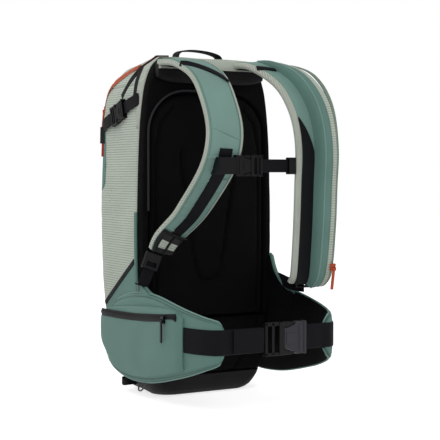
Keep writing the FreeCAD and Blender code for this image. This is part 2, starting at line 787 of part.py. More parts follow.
# ---------------------------------------------------------------- hip belt wings

def wing_tip():
    """Half the gap between the two wings in front."""
    return 92.0


def wing_plan():
    """(x, y) of the left wing's outer face, from the bag side round to the front."""
    front = -s.belt_line + s.webbing_thickness / 2 + s.clearance
    return [(-s.wing_reach + 7, 56), (-s.wing_reach, 12), (-s.wing_reach, -188),
            (-s.wing_reach + 7, front + 36), (-s.wing_reach + 17, front + 10),
            (-s.wing_reach + 28, front), (-wing_tip(), front)]


def wing_side(inset=0.0):
    """(y, z) outline of a wing."""
    return [(54 - inset, 84 + inset), (0 - inset, 38 + inset), (-90, 30 + inset), (-185, 48 + inset),
            (-245, 72 + inset), (-320 + inset, 88 + inset), (-320 + inset, 134 - inset),
            (-245, 141 - inset), (-215, 153 - inset), (-127, 170 - inset), (-60, 168 - inset),
            (10, 150 - inset), (54 - inset, 128 - inset)]


def wings():
    """Padded wings of the hip belt, wrapped round from the bag's sides."""
    plan = plan_prism(band(wing_plan(), 0.0, -s.wing_thickness))
    wing = plan.common(side_prism(wing_side(), -FAR, 0))
    wing = wing.cut(outside_bag()).cut(back_keepout())
    feature(wing, "left_belt_wing")
    feature(mirrored(wing), "right_belt_wing")
    plan = plan_prism(band(wing_plan()[:5], s.hip_pocket_depth, 0.0))
    outline = side_prism([(50, 90), (-6, 46), (-90, 38), (-185, 54), (-222, 64),
                          (-222, 142), (-185, 154), (10, 141), (50, 124)], -FAR, 0)
    feature(plan.common(outline), "hip_pocket")


# ---------------------------------------------------------------- side pockets, compression, loops

def side_pockets():
    """Stretch pocket on each side of the bag, with an elastic hem along its slanted mouth."""
    inner = s.clearance
    back_top, front_top = high(0.40), high(0.255)
    pocket_outline = [(-s.back_reach + 2, 44), (66, 44), (66, front_top), (-s.back_reach + 2, back_top)]
    hem_outline = [(-s.back_reach + 2, back_top), (66, front_top),
                   (66, front_top + s.hem_height), (-s.back_reach + 2, back_top + s.hem_height)]
    left_half = Part.makeBox(FAR, 2 * FAR, 2 * FAR, V(-FAR - 30, -FAR, 0))
    pocket_piece = skin(inner, inner + s.pocket_fabric, pocket_outline).common(left_half)
    hem = skin(inner, inner + s.pocket_fabric, hem_outline).common(left_half)
    group([pocket_piece, mirrored(pocket_piece)], "side_pockets")
    group([hem, mirrored(hem)], "pocket_hems")


def compression_place(side):
    """Frame of the compression strap on one side, its X pointing to the bag's front."""
    off = s.clip_thickness / 2 + 2.8
    rear_y, rear_z = -62.0, high(0.876)
    front_y, front_z = 78.0, high(0.80)
    rear = V(side * (side_of_bag(rear_y, rear_z) + off), rear_y, rear_z)
    front = V(side * (side_of_bag(front_y, front_z) + off), front_y, front_z)
    run = front - rear
    parting = rear + run * 0.50
    return frame_of(V(run).normalize(), Z_AXIS, parting), run.Length


def compression_straps():
    """A webbing strap with a side-release buckle across each side of the bag."""
    females = []
    strips = []
    for label, side in (("left", -1), ("right", 1)):
        place, run = compression_place(side)
        female = buckle("clip", "strap_webbing_width", label + "_compression_female",
                        label + "_compression_male", place)
        females.append(female)
        half = run / 2
        wide = s.strap_webbing_width
        rear = webbing_box(wide, -half, half - s.clip_female_length, place)
        start = s.clip_male_length - 2
        ahead = webbing_box(wide, start, half - start, place)
        for strip, end in ((rear, -half), (ahead, half - 8)):
            block = Part.makeBox(8, 30, wide, V(end, -15, -wide / 2))
            block = block.transformed(place.toMatrix(), True).cut(bag_solid(s.clearance, 1, 1, 1))
            near = min(block.Solids, key=lambda piece: -abs(piece.CenterOfMass.x))
            strip = strip.fuse(near.common(outside_slab(side, place)))
            strips.append(strip)
    pair = doc.addObject("Part::Compound", "compression_females")
    pair.Links = females
    node(pair, "compression_females")
    group(strips, "compression_webbing")


def outside_slab(side, place):
    """Room between the bag and the outer face of the compression webbing."""
    reach = abs(place.Base.x) + s.webbing_thickness + 4
    return Part.makeBox(reach, 2 * FAR, 2 * FAR, V(0 if side > 0 else -reach, -FAR, 0))


def corner_frame(height):
    """Frame on the bag's front left corner: X along the corner's face, Y outward, Z up the corner."""
    low, high_level = list(bag_stations())[3:5]
    up = V(low[2] - high_level[2], high_level[3] - low[3], high_level[0] - low[0]).normalize()
    half_back, half_front, reach = bag_at(height)
    corner = V(-half_front, reach, height)
    rear = V(-half_back, -s.back_reach, height)
    start, base, end = arc_corner(rear, corner, V(half_front, reach, height), s.bag_corner)
    outward = (base - (start + end) / 2).normalize()
    along = outward.cross(up).normalize()
    return frame_of(along, up, base)


def zip_parts(name, place, standoff):
    """Slider and hanging pull of a zip, built with the tape plane at Y = 0 and Y outward."""
    wide, tall, thick = s.slider_width, s.slider_length, s.slider_thickness
    body = box(name + "_slider_body", ("slider_width", "slider_thickness", "slider_length"),
               ("-slider_width / 2", str(standoff), "0"))
    pin_y = f"{standoff} + slider_thickness + 0.6"
    pin = cylinder(name + "_pin", "pull_pin", "slider_width", ("-slider_width / 2", pin_y, "3"), X_AXIS)
    ears = []
    for index, corner in enumerate(("-slider_width / 2", "slider_width / 2 - 1.2")):
        ears.append(box(f"{name}_ear{index}", ("1.2", "slider_thickness", "5"),
                        (corner, f"{standoff} + slider_thickness - 2", "0.5")))
    slider = fused(name + "_slider", [body, pin] + ears)
    lug = cylinder(name + "_lug", "pull_pin + 1.2", "slider_width - 3.4",
                   ("-slider_width / 2 + 1.7", pin_y, "3"), X_AXIS)
    bore = cylinder(name + "_bore", "pull_pin + running_fit", "slider_width", ("-slider_width / 2", pin_y, "3"), X_AXIS)
    tab = box(name + "_tab", ("slider_width - 3.4", "pull_thickness", "pull_length"),
              ("-slider_width / 2 + 1.7", f"{pin_y} - pull_thickness / 2 + 0.6", "2.4 - pull_length"))
    pull = minus(name + "_pull", fused(name + "_pull_whole", [lug, tab]), [bore])
    notch = box(name + "_notch", ("slider_width - 2.8", "6", "7"),
                ("-slider_width / 2 + 1.4", f"{pin_y} - pull_pin - 1.7", "-0.6"))
    body_cut = minus(name + "_slider_seat", fused(name + "_slider_whole", [body] + ears), [notch])
    doc.removeObject(slider.Name)
    slider = fused(name + "_slider", [body_cut, pin])
    for piece, label in ((slider, name + "_slider"), (pull, name + "_pull")):
        piece.Placement = place
        node(piece, label)


def zips():
    """Front, hip pocket and sleeve zips: the tape in front and a slider with a pull on each."""
    outline = [(70, high(0.835)), (97, high(0.835)), (97, high(0.90)), (80, high(0.93)), (30, high(0.965)),
               (-20, high(0.985)), (-20, high(0.968)), (28, high(0.948)), (72, high(0.915)), (74, high(0.895))]
    side_only = Part.makeBox(FAR, 2 * FAR, 2 * FAR, V(-FAR - s.side_seam - 24, -FAR, 0))
    tape = skin(s.clearance, s.clearance + s.zip_thickness, outline).common(side_only)
    feature(max(tape.Solids, key=lambda piece: piece.Volume), "front_zip_tape")
    zip_parts("front_zip", corner_frame(high(0.845)), s.clearance + s.zip_thickness + 0.4)
    face = -s.wing_reach - s.hip_pocket_depth
    hip = frame_of(V(0, 1, 0), Z_AXIS, V(face, -180, 132))
    zip_parts("hip_zip", hip, s.clearance)
    zip_parts("sleeve_zip", sleeve_frame(), s.clearance)


def sleeve_frame():
    """Frame on the front of the trigger sleeve near its foot: Y outward, Z up the sleeve."""
    path = beside(right_strap_path(), sleeve_depths())
    low, top = path[7], path[6]
    up = V(0, top[0] - low[0], top[1] - low[1]).normalize()
    base = V(92 + s.strap_width / 2 - s.slider_width, low[0], low[1]) + up * 8
    along = V(-1, 0, 0)
    return frame_of(along, up, base)


def base_loops():
    """Webbing loop and tie cord on the left of the base."""
    keep = bag_solid(s.clearance, 1, 1, 1)
    ring = Part.makeBox(22, 24, 13, V(-106, 2, 9))
    ring = ring.cut(Part.makeBox(16, 19, 20, V(-103.5, 4.5, 5))).cut(keep)
    feature(max(ring.Solids, key=lambda piece: piece.Volume), "base_loop")
    side = side_of_bag(-48, 25) + s.clearance
    route = [V(-side, -38, 25), V(-side - 9, -38, 8), V(-side - 9, -58, 8), V(-side, -58, 25)]
    cord = tube(cord_wire(route), s.cord_radius).cut(keep)
    feature(max(cord.Solids, key=lambda piece: piece.Volume), "tie_cord")


# ---------------------------------------------------------------- airbag system

HOUSING_TOP = "(pack_height - housing_drop)"
HOUSING_LOW = "(pack_height - housing_drop - housing_height)"


def inflator_housing():
    """Moulded housing, open below, with a fan chamber and a chamber for the electronics."""
    body = doc.addObject("PartDesign::Body", "housing_body")
    outline = sketch_on(body, "XY_Plane", "housing_outline")
    rectangle(outline, "housing_length", "housing_depth")
    pad(body, outline, "housing_height", "housing_block")
    placed(body, ("0", "0", HOUSING_LOW))
    chamber = cylinder("fan_chamber", "fan_radius", "housing_height - housing_wall",
                       ("fan_offset", "0", HOUSING_LOW))
    outlet = cylinder("fan_outlet", "duct_radius", "2 * housing_height", ("fan_offset", "0", HOUSING_LOW))
    long = "housing_length / 2 - housing_wall * 2 - fan_radius - fan_offset"
    cells = box("cell_chamber", (long, "housing_depth - 2 * housing_wall", "housing_height - housing_wall"),
                ("fan_offset + fan_radius + housing_wall", "-housing_depth / 2 + housing_wall", HOUSING_LOW))
    knob_post = cylinder("knob_post", "spigot_radius", "knob_height - 3",
                         ("housing_length / 2 - 1", "0", f"{HOUSING_LOW} + housing_height / 2"), X_AXIS)
    lever_post = cylinder("lever_post", "post_radius", "lever_thickness + 5",
                          ("housing_length / 2 - 15", "10", f"{HOUSING_TOP} - 1"))
    cut = minus("housing_hollow", body, [chamber, outlet, cells])
    node(fused("inflator_housing_moulding", [cut, knob_post, lever_post]), "inflator_housing")


def inflator_cover():
    """Cover under the housing, with a ring of intake slots below the fan."""
    body = doc.addObject("PartDesign::Body", "cover_body")
    outline = sketch_on(body, "XY_Plane", "cover_outline")
    rectangle(outline, "housing_length", "housing_depth")
    pad(body, outline, "housing_wall", "cover_plate", reverse=True)
    slots = []
    for index in range(10):
        angle = 2 * math.pi * index / 10
        middle = V(s.fan_offset + 27 * math.cos(angle), 27 * math.sin(angle), 0)
        hole = cylinder(f"intake{index}", "shaft_radius * 2.4", "4 * housing_wall",
                        (f"{middle.x:.4f}", f"{middle.y:.4f}", f"{HOUSING_LOW} - 2 * housing_wall"))
        slots.append(hole)
    placed(body, ("0", "0", HOUSING_LOW))
    node(minus("inflator_cover_holes", body, slots), "inflator_cover")


def motor():
    """Fan motor standing on the cover, bored for the shaft."""
    body = doc.addObject("PartDesign::Body", "motor_body")
    disc = sketch_on(body, "XY_Plane", "motor_disc")
    circle(disc, "motor_radius")
    pad(body, disc, "motor_height", "motor_can")
    placed(body, ("fan_offset", "0", HOUSING_LOW))
    bore = cylinder("motor_bore", "shaft_radius + running_fit", "motor_height",
                    ("fan_offset", "0", f"{HOUSING_LOW} + 6"))
    node(minus("motor_bored", body, [bore]), "motor")


def impeller():
    """Fan with eight blades on a disc, and its shaft down into the motor."""
    foot = f"({HOUSING_LOW} + motor_height + 2)"
    disc = cylinder("fan_disc", "impeller_radius", "2.5", ("fan_offset", "0", foot))
    hub = cylinder("fan_hub", "9", "impeller_height", ("fan_offset", "0", foot))
    shaft = cylinder("fan_shaft", "shaft_radius", "motor_height - 6",
                     ("fan_offset", "0", f"{HOUSING_LOW} + 8.5"))
    blades = []
    for index in range(8):
        blade = box(f"blade{index}", ("impeller_radius - 9", "blade_thickness", "impeller_height"),
                    ("fan_offset", "0", foot))
        angle = 45.0 * index
        turn = FreeCAD.Rotation(Z_AXIS, angle)
        start = V(8, -s.blade_thickness / 2, 0)
        blade.Placement.Rotation = turn
        offset = turn.multVec(start)
        blade.setExpression("Placement.Base.x", bound(f"fan_offset + {offset.x:.4f}"))
        blade.setExpression("Placement.Base.y", bound(f"{offset.y:.4f}"))
        blades.append(blade)
    node(fused("impeller", [disc, hub, shaft] + blades), "impeller")


def electronics():
    """Two supercapacitors and the control board in the housing's second chamber."""
    left = "(fan_offset + fan_radius + housing_wall)"
    cells = []
    for index in range(2):
        side = 2 * index - 1
        cells.append(cylinder(f"cell{index}", "cell_radius", "cell_length",
                              (f"{left} + cell_radius + {4 + 27 * index}", f"{-14 * side}", f"{HOUSING_TOP} - housing_wall - cell_length")))
    pair = doc.addObject("Part::Compound", "supercapacitors")
    pair.Links = cells
    node(pair, "supercapacitors")
    board = box("control_board", ("housing_length / 2 - housing_wall * 2 - fan_radius - fan_offset - 4",
                                  "housing_depth - 2 * housing_wall - 6", "board_thickness"),
                (f"{left} + 2", "-housing_depth / 2 + housing_wall + 3", f"{HOUSING_LOW} + clearance"))
    node(board, "control_board")


def power_knob():
    """Rotary switch with a finger bar, turning on a post on the housing's side."""
    place = ("housing_length / 2 + clearance", "0", f"{HOUSING_LOW} + housing_height / 2")
    disc = cylinder("knob_disc", "knob_radius", "knob_height - 4", place, X_AXIS)
    grip = box("knob_grip", ("knob_height", "6", "2 * knob_radius - 4"),
               (place[0], "-3", f"{place[2]} - knob_radius + 2"))
    bore = cylinder("knob_bore", "spigot_radius + running_fit", "knob_height - 1",
                    ("housing_length / 2 - 1", "0", place[2]), X_AXIS)
    node(minus("power_knob", fused("knob_whole", [disc, grip]), [bore]), "power_knob")


def outlet_duct():
    """Duct from the fan up into the airbag pouch, with ears for the flap's pin."""
    body = doc.addObject("PartDesign::Body", "duct_body")
    ring = sketch_on(body, "XY_Plane", "duct_ring")
    circle(ring, "duct_radius + duct_wall")
    pad(body, ring, "duct_height", "duct_wall_pad")
    hole = sketch_on(body, "XY_Plane", "duct_hole")
    circle(hole, "duct_radius")
    pocket(body, hole, "duct_height + 1", "duct_bore", reverse=True)
    placed(body, ("fan_offset", "0", HOUSING_TOP))
    pin = cylinder("flap_pin_bar", "flap_pin", "2 * duct_radius",
                   ("fan_offset - duct_radius", "-duct_radius + 8", f"{HOUSING_TOP} + 5"), X_AXIS)
    limit = cylinder("flap_pin_limit", "duct_radius + 1", "duct_height", ("fan_offset", "0", HOUSING_TOP))
    kept = doc.addObject("Part::Common", "flap_pin_kept")
    kept.Base = pin
    kept.Tool = limit
    node(fused("outlet_duct_moulding", [body, kept]), "outlet_duct")


def valve_flap():
    """Non-return flap, hinged on the pin across the duct."""
    level = f"({HOUSING_TOP} + 5)"
    disc = cylinder("flap_disc", "duct_radius - 2", "flap_thickness",
                    ("fan_offset", "0", f"{level} + 0.4"))
    lug = cylinder("flap_lug", "flap_pin + 1.6", "22", ("fan_offset - 11", "-duct_radius + 8", level), X_AXIS)
    bore = cylinder("flap_bore", "flap_pin + running_fit", "2 * duct_radius",
                    ("fan_offset - duct_radius", "-duct_radius + 8", level), X_AXIS)
    behind = box("flap_behind", ("4 * duct_radius", "duct_radius", "duct_height"),
                 ("fan_offset - 2 * duct_radius", "-2 * duct_radius + 8 - flap_pin - 0.8", f"{HOUSING_TOP} + 1"))
    trimmed = minus("flap_trimmed", disc, [behind])
    node(minus("valve_flap", fused("flap_whole", [trimmed, lug]), [bore]), "valve_flap")


def airbag():
    """Fabric pouch over the duct and the folded airbag packed in it."""
    low = f"({HOUSING_TOP} + duct_height)"
    back = "(clearance - back_reach)"
    sides = ("2 * pouch_half_width", "pouch_depth", "pouch_height")
    outer = box("pouch_outer", sides, ("-pouch_half_width", back, low))
    inner = box("pouch_inner", tuple(f"{side} - 2 * pouch_wall" for side in sides),
                ("-pouch_half_width + pouch_wall", f"{back} + pouch_wall", f"{low} + pouch_wall"))
    mouth = cylinder("pouch_mouth", "duct_radius", "3 * pouch_wall", ("fan_offset", "0", f"{low} - pouch_wall"))
    node(minus("airbag_pouch", outer, [inner, mouth]), "airbag_pouch")
    inset = "(pouch_wall + airbag_inset)"
    folded = box("airbag", tuple(f"{side} - 2 * {inset}" for side in sides),
                 (f"-pouch_half_width + {inset}", f"{back} + {inset}", f"{low} + {inset}"))
    node(folded, "airbag")


def trigger(cable):
    """Handle in the sleeve, the cable to the inflator and the lever that it pulls."""
    feature(cable, "trigger_cable")
    axis_x, axis_y = handle_axis()
    grip = Part.makeCylinder(s.handle_radius, s.handle_length, V(axis_x, axis_y, handle_top() - s.handle_length))
    grip = grip.makeFillet(3.0, [edge for edge in grip.Edges if edge.Closed])
    socket = Part.makeCylinder(s.cable_radius + s.clearance, 33, V(axis_x, axis_y, handle_top() - 32))
    feature(grip.cut(socket), "trigger_handle")
    post = ("housing_length / 2 - 15", "10")
    level = f"({HOUSING_TOP} + clearance)"
    arm = box("lever_arm", ("9", "lever_length", "lever_thickness"),
              (f"{post[0]} - 4.5", f"{post[1]} - lever_length", level))
    eye = cylinder("lever_eye", "post_radius + 3", "lever_thickness", (*post, level))
    bore = cylinder("lever_bore", "post_radius + running_fit", "3 * lever_thickness",
                    (*post, f"{level} - lever_thickness"))
    node(minus("trigger_lever", fused("lever_whole", [arm, eye]), [bore]), "trigger_lever")


# ---------------------------------------------------------------- assembly

cable_path = cord_wire(cable_route())
channel = tube(cable_path, s.cable_radius + s.cable_clearance)
bag_panels()
lumbar_pad()
back_surround(channel)
door()
yoke(channel)
haul_loop()
shoulder_straps(channel)
daisy_chain()
load_lifters()
sternum()
lower_straps()
wings()
hip_belt()
side_pockets()
compression_straps()
zips()
base_loops()
inflator_housing()
inflator_cover()
motor()
impeller()
electronics()
power_knob()
outlet_duct()
valve_flap()
airbag()
trigger(tube(cable_path, s.cable_radius))

doc.recompute()
for item in doc.Objects:
    bad = [state for state in item.State if state in ("Invalid", "Error")]
    if bad:
        raise RuntimeError(f"{item.Label}: {bad}")
for solid in NODES:
    if solid.Shape.isNull() or not solid.Shape.isValid() or not solid.Shape.Solids:
        raise RuntimeError(f"{solid.Label} has no valid solid")

os.makedirs("parts", exist_ok=True)
for solid in NODES:
    solid.Shape.exportStep(f"parts/{solid.Label}.step")
print(len(NODES), "sub-parts")
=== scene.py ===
"""Avalanche airbag backpack: cloth, foam, webbing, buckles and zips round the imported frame.

Sizes are in millimetres in the frame's own axes, and meshes are made in metres.
+X is the wearer's left side, the harness is on -Y and the bag's front on +Y.
"""

import logging
import math
from collections.abc import Callable, Sequence
from dataclasses import dataclass, field
from enum import Enum, auto

import bmesh
import bpy
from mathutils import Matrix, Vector, noise


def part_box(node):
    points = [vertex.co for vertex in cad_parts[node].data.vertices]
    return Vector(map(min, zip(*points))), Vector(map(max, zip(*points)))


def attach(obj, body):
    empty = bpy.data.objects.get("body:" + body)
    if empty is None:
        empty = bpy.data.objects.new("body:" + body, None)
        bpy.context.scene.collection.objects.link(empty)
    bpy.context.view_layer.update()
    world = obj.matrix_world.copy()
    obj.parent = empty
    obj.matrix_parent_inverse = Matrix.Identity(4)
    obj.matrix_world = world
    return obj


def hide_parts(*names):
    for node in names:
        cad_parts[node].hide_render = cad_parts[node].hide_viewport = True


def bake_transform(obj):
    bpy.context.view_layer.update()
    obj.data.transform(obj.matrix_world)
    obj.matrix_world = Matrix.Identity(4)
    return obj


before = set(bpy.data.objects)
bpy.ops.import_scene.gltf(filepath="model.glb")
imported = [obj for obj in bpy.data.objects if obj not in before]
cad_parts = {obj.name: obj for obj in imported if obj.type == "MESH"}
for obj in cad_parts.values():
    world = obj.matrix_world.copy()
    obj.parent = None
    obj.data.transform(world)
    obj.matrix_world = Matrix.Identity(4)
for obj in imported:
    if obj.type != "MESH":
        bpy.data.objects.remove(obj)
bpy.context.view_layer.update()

MM = 0.001
X, Y, Z = Vector((1, 0, 0)), Vector((0, 1, 0)), Vector((0, 0, 1))
log = logging.getLogger("airbag_pack")


# ---------------------------------------------------------------- finishes

class Pattern(Enum):
    """What the surface of a finish is made of."""

    RIPSTOP = auto()
    TWILL = auto()
    DOT_MESH = auto()
    WEBBING = auto()
    KNIT = auto()
    MOULDED = auto()
    METAL = auto()


@dataclass(frozen=True)
class Finish:
    """One material of the pack.

    pitch and relief are the spacing and the height of its weave in millimetres.
    """

    name: str
    colour: str
    accent: str
    pattern: Pattern
    pitch: float = 1.0
    relief: float = 0.15
    roughness: float = 0.8
    metallic: float = 0.0


CREAM = Finish("cream_ripstop", "d3dbcf", "a6b1a2", Pattern.RIPSTOP, 4.0, 0.25, 0.72)
SAGE = Finish("sage_nylon", "72988f", "61837a", Pattern.TWILL, 0.9, 0.12, 0.52)
# Painted light: the same sage nylon as above, painted paler where light falls on it; used on the strap faces,
# wing edges, sleeve piping and strap folds.
SAGE_PAINTED_LIGHT = Finish("sage_nylon_painted_light", "8cb0a6", "81a399", Pattern.TWILL, 0.9, 0.12, 0.48)
DOTS = Finish("cream_dotted_mesh", "d9dfd3", "4f594f", Pattern.DOT_MESH, 3.8, 0.7, 0.8)
FOAM = Finish("black_airmesh", "0d0d0f", "060607", Pattern.KNIT, 1.5, 0.3, 0.85)
BLACK = Finish("black_nylon", "101013", "0a0a0c", Pattern.TWILL, 0.8, 0.12, 0.6)
WEB = Finish("black_webbing", "101012", "222226", Pattern.WEBBING, 1.8, 0.35, 0.6)
GREY_WEB = Finish("grey_webbing", "1b1c1e", "2b2d30", Pattern.WEBBING, 1.6, 0.3, 0.7)
FLAP = Finish("grey_flap", "2e2f33", "232427", Pattern.TWILL, 0.9, 0.12, 0.5)
CORD = Finish("grey_cord", "8f9491", "5c605e", Pattern.WEBBING, 0.9, 0.2, 0.75)
ACETAL = Finish("black_acetal", "09090a", "0e0e10", Pattern.MOULDED, 1.2, 0.05, 0.34)
GREY_ACETAL = Finish("grey_acetal", "3f3f45", "333338", Pattern.MOULDED, 1.2, 0.05, 0.4)
ZIP_TAPE = Finish("orange_zip_tape", "dd7a5c", "c46245", Pattern.TWILL, 0.8, 0.15, 0.6)
ZIP_COIL = Finish("orange_zip_coil", "e2785a", "b9573c", Pattern.MOULDED, 1.0, 0.05, 0.45)
PULL = Finish("orange_pull", "cf5c3a", "a8452a", Pattern.MOULDED, 1.4, 0.06, 0.5)
PALE_COIL = Finish("pale_zip_coil", "a9b39f", "7f8a7a", Pattern.MOULDED, 1.0, 0.05, 0.5)
TOP_ZIP = Finish("dark_red_zip", "4a1f1c", "2a1210", Pattern.TWILL, 0.8, 0.15, 0.55)
RED_TAG = Finish("red_tag", "b23a2c", "8e2b20", Pattern.WEBBING, 1.0, 0.2, 0.6)
BLACK_COIL = Finish("black_zip_coil", "121113", "09090a", Pattern.MOULDED, 1.0, 0.05, 0.4)
BLACK_TAPE = Finish("black_zip_tape", "141214", "0c0b0d", Pattern.TWILL, 0.8, 0.15, 0.55)
SAGE_THREAD = Finish("sage_thread", "5d7a70", "4b655c", Pattern.WEBBING, 0.4, 0.05, 0.8)
FRAME_SHEET = Finish("white_frame_sheet", "dcdcd8", "c9c9c4", Pattern.MOULDED, 3.0, 0.06, 0.5)
ALUMINIUM = Finish("brushed_aluminium", "b9bbbe", "9b9da1", Pattern.METAL, 0.5, 0.03, 0.35, 1.0)
STEEL = Finish("motor_steel", "8d9094", "74777b", Pattern.METAL, 0.4, 0.03, 0.3, 1.0)
CELL = Finish("capacitor_sleeve", "23406f", "1c3358", Pattern.MOULDED, 2.0, 0.03, 0.35)
BOARD = Finish("board_green", "1f5a3c", "2f7a52", Pattern.RIPSTOP, 2.4, 0.05, 0.4)
AIRBAG = Finish("airbag_orange", "d8632c", "b94f20", Pattern.RIPSTOP, 4.0, 0.12, 0.6)


SHINE = {Pattern.MOULDED: 0.18, Pattern.METAL: 0.5, Pattern.WEBBING: 0.07, Pattern.KNIT: 0.1}


def linear(code: str) -> tuple[float, float, float, float]:
    """Scene colour of a six-digit screen colour.

    Args:
        code: red, green and blue as two hexadecimal digits each.

    Returns:
        The colour as linear red, green, blue and alpha.
    """
    parts = [int(code[i:i + 2], 16) / 255 for i in (0, 2, 4)]
    made = [p / 12.92 if p <= 0.04045 else ((p + 0.055) / 1.055) ** 2.4 for p in parts]
    return (made[0], made[1], made[2], 1.0)


class Graph:
    """Shader tree of one material, with short ways to add nodes."""

    def __init__(self, name: str) -> None:
        """Starts an empty tree for a new material."""
        self.material = bpy.data.materials.new(name)
        self.material.use_nodes = True
        self.tree = self.material.node_tree
        self.tree.nodes.clear()

    def add(self, kind: str, inputs: dict | None = None, **settings) -> bpy.types.Node:
        """Adds a node.

        Args:
            kind: the node's type.
            inputs: values or sockets by input name or number.
            settings: properties of the node.

        Returns:
            The node.
        """
        made = self.tree.nodes.new(kind)
        for key, value in settings.items():
            setattr(made, key, value)
        for key, value in (inputs or {}).items():
            if isinstance(value, bpy.types.NodeSocket):
                self.tree.links.new(value, made.inputs[key])
            else:
                made.inputs[key].default_value = value
        return made

    def maths(self, operation: str, a: object, b: object = 0.0) -> bpy.types.NodeSocket:
        """Result of one sum.

        Args:
            operation: the Math node's operation.
            a: first value or socket.
            b: second value or socket.

        Returns:
            The node's output.
        """
        return self.add("ShaderNodeMath", {0: a, 1: b}, operation=operation).outputs[0]

    def plane(self, on_uv: bool) -> tuple[bpy.types.NodeSocket, bpy.types.NodeSocket]:
        """The two lengths along the surface, in metres.

        Args:
            on_uv: whether the piece has a UV map, otherwise its own box axes are used.

        Returns:
            Sockets of the length across and the length along.
        """
        if on_uv:
            split = self.add("ShaderNodeSeparateXYZ", {0: self.add("ShaderNodeUVMap").outputs[0]})
            return split.outputs[0], split.outputs[1]
        coords = self.add("ShaderNodeTexCoord")
        place = self.add("ShaderNodeSeparateXYZ", {0: coords.outputs["Object"]})
        facing = self.add("ShaderNodeSeparateXYZ", {0: coords.outputs["Normal"]})
        lengths = []
        for main, axis in ((0, 0), (2, 2)):
            turned = self.maths("GREATER_THAN", self.maths("ABSOLUTE", facing.outputs[axis]), 0.7)
            swap = self.maths("SUBTRACT", place.outputs[1], place.outputs[main])
            lengths.append(self.maths("ADD", place.outputs[main], self.maths("MULTIPLY", swap, turned)))
        return lengths[0], lengths[1]

    def centred(self, length: object, pitch: float, shift: float = 0.0) -> bpy.types.NodeSocket:
        """Place inside a repeat, from -0.5 to 0.5."""
        turns = self.maths("ADD", self.maths("DIVIDE", length, pitch), shift)
        return self.maths("SUBTRACT", self.maths("FRACT", turns), 0.5)

    def wave(self, length: object, pitch: float) -> bpy.types.NodeSocket:
        """Sine of a length with the given pitch."""
        return self.maths("SINE", self.maths("MULTIPLY", length, 2 * math.pi / pitch))


def weave(graph: Graph, finish: Finish, u: object, v: object) -> tuple[object, object]:
    """Where the accent colour shows and how high the surface stands.

    Args:
        graph: tree to add to.
        finish: what is made.
        u: length across the surface.
        v: length along the surface.

    Returns:
        Sockets of the accent's share and of the height, each about 0 to 1.
    """
    pitch = finish.pitch * MM
    match finish.pattern:
        case Pattern.RIPSTOP:
            lines = [graph.maths("GREATER_THAN", graph.maths("ABSOLUTE", graph.centred(w, pitch)), 0.37)
                     for w in (u, v)]
            mask = graph.maths("MAXIMUM", graph.maths("MULTIPLY", lines[0], 0.3), lines[1])
            fine = graph.maths("MULTIPLY", graph.wave(u, pitch / 5), graph.wave(v, pitch / 5))
            return mask, graph.maths("ADD", mask, graph.maths("MULTIPLY", fine, 0.2))
        case Pattern.TWILL:
            slant = graph.wave(graph.maths("ADD", u, graph.maths("MULTIPLY", v, 0.6)), pitch)
            mask = graph.maths("MULTIPLY", graph.maths("ADD", slant, 1.0), 0.22)
            return mask, slant
        case Pattern.DOT_MESH:
            far = []
            for shift in (0.0, 0.5):
                across = graph.centred(u, pitch, shift)
                along = graph.centred(v, pitch, shift)
                far.append(graph.maths("SQRT", graph.maths("ADD", graph.maths("MULTIPLY", across, across),
                                                           graph.maths("MULTIPLY", along, along))))
            near = graph.maths("MINIMUM", far[0], far[1])
            hole = graph.maths("LESS_THAN", near, 0.2)
            return hole, graph.maths("MULTIPLY", graph.maths("MINIMUM", near, 0.3), 3.0)
        case Pattern.WEBBING:
            rib = graph.maths("ABSOLUTE", graph.wave(u, 2 * pitch))
            pick = graph.maths("MULTIPLY", graph.maths("ADD", graph.wave(v, pitch * 0.8), 1.0), 0.3)
            height = graph.maths("ADD", rib, pick)
            return graph.maths("MULTIPLY", height, 0.45), height
        case Pattern.KNIT:
            both = graph.maths("MULTIPLY", graph.wave(u, pitch), graph.wave(v, pitch))
            return graph.maths("MULTIPLY", graph.maths("ADD", both, 1.0), 0.45), both
    stretch = 14.0 if finish.pattern is Pattern.METAL else 1.0
    place = graph.add("ShaderNodeCombineXYZ", {0: u, 1: graph.maths("MULTIPLY", v, stretch)})
    grain = graph.add("ShaderNodeTexNoise", {"Vector": place.outputs[0], "Scale": 1 / pitch, "Detail": 2.0})
    return graph.maths("MULTIPLY", grain.outputs[0], 0.5), grain.outputs[0]


def material(finish: Finish, on_uv: bool = True) -> bpy.types.Material:
    """Material of a finish, made once.

    Args:
        finish: what is made.
        on_uv: whether its weave follows the piece's UV map.

    Returns:
        The material.
    """
    name = finish.name + ("_sewn" if on_uv else "_solid")
    if name in bpy.data.materials:
        return bpy.data.materials[name]
    graph = Graph(name)
    u, v = graph.plane(on_uv)
    mask, height = weave(graph, finish, u, v)
    place = graph.add("ShaderNodeTexCoord").outputs["Object"]
    cloud = graph.add("ShaderNodeTexNoise", {"Vector": place, "Scale": 18.0, "Detail": 3.0}).outputs[0]
    tint = graph.add("ShaderNodeMix", {0: mask, 6: linear(finish.colour), 7: linear(finish.accent)},
                     data_type="RGBA")
    shade = graph.add("ShaderNodeMapRange", {0: cloud, 1: 0.25, 2: 0.75, 3: 0.93, 4: 1.05}).outputs[0]
    worn = graph.add("ShaderNodeVectorMath", {0: tint.outputs[2], 3: shade}, operation="SCALE")
    rough = graph.add("ShaderNodeMapRange", {0: cloud, 1: 0.2, 2: 0.8, 3: finish.roughness - 0.06,
                                             4: finish.roughness + 0.08}).outputs[0]
    bump = graph.add("ShaderNodeBump", {"Height": height, "Distance": finish.relief * MM, "Strength": 0.7})
    body = graph.add("ShaderNodeBsdfPrincipled", {
        "Base Color": worn.outputs[0], "Roughness": rough, "Normal": bump.outputs[0],
        "Metallic": finish.metallic,
        "Specular IOR Level": SHINE.get(finish.pattern, 0.2)})
    graph.add("ShaderNodeOutputMaterial", {0: body.outputs[0]})
    return graph.material


# ---------------------------------------------------------------- meshes

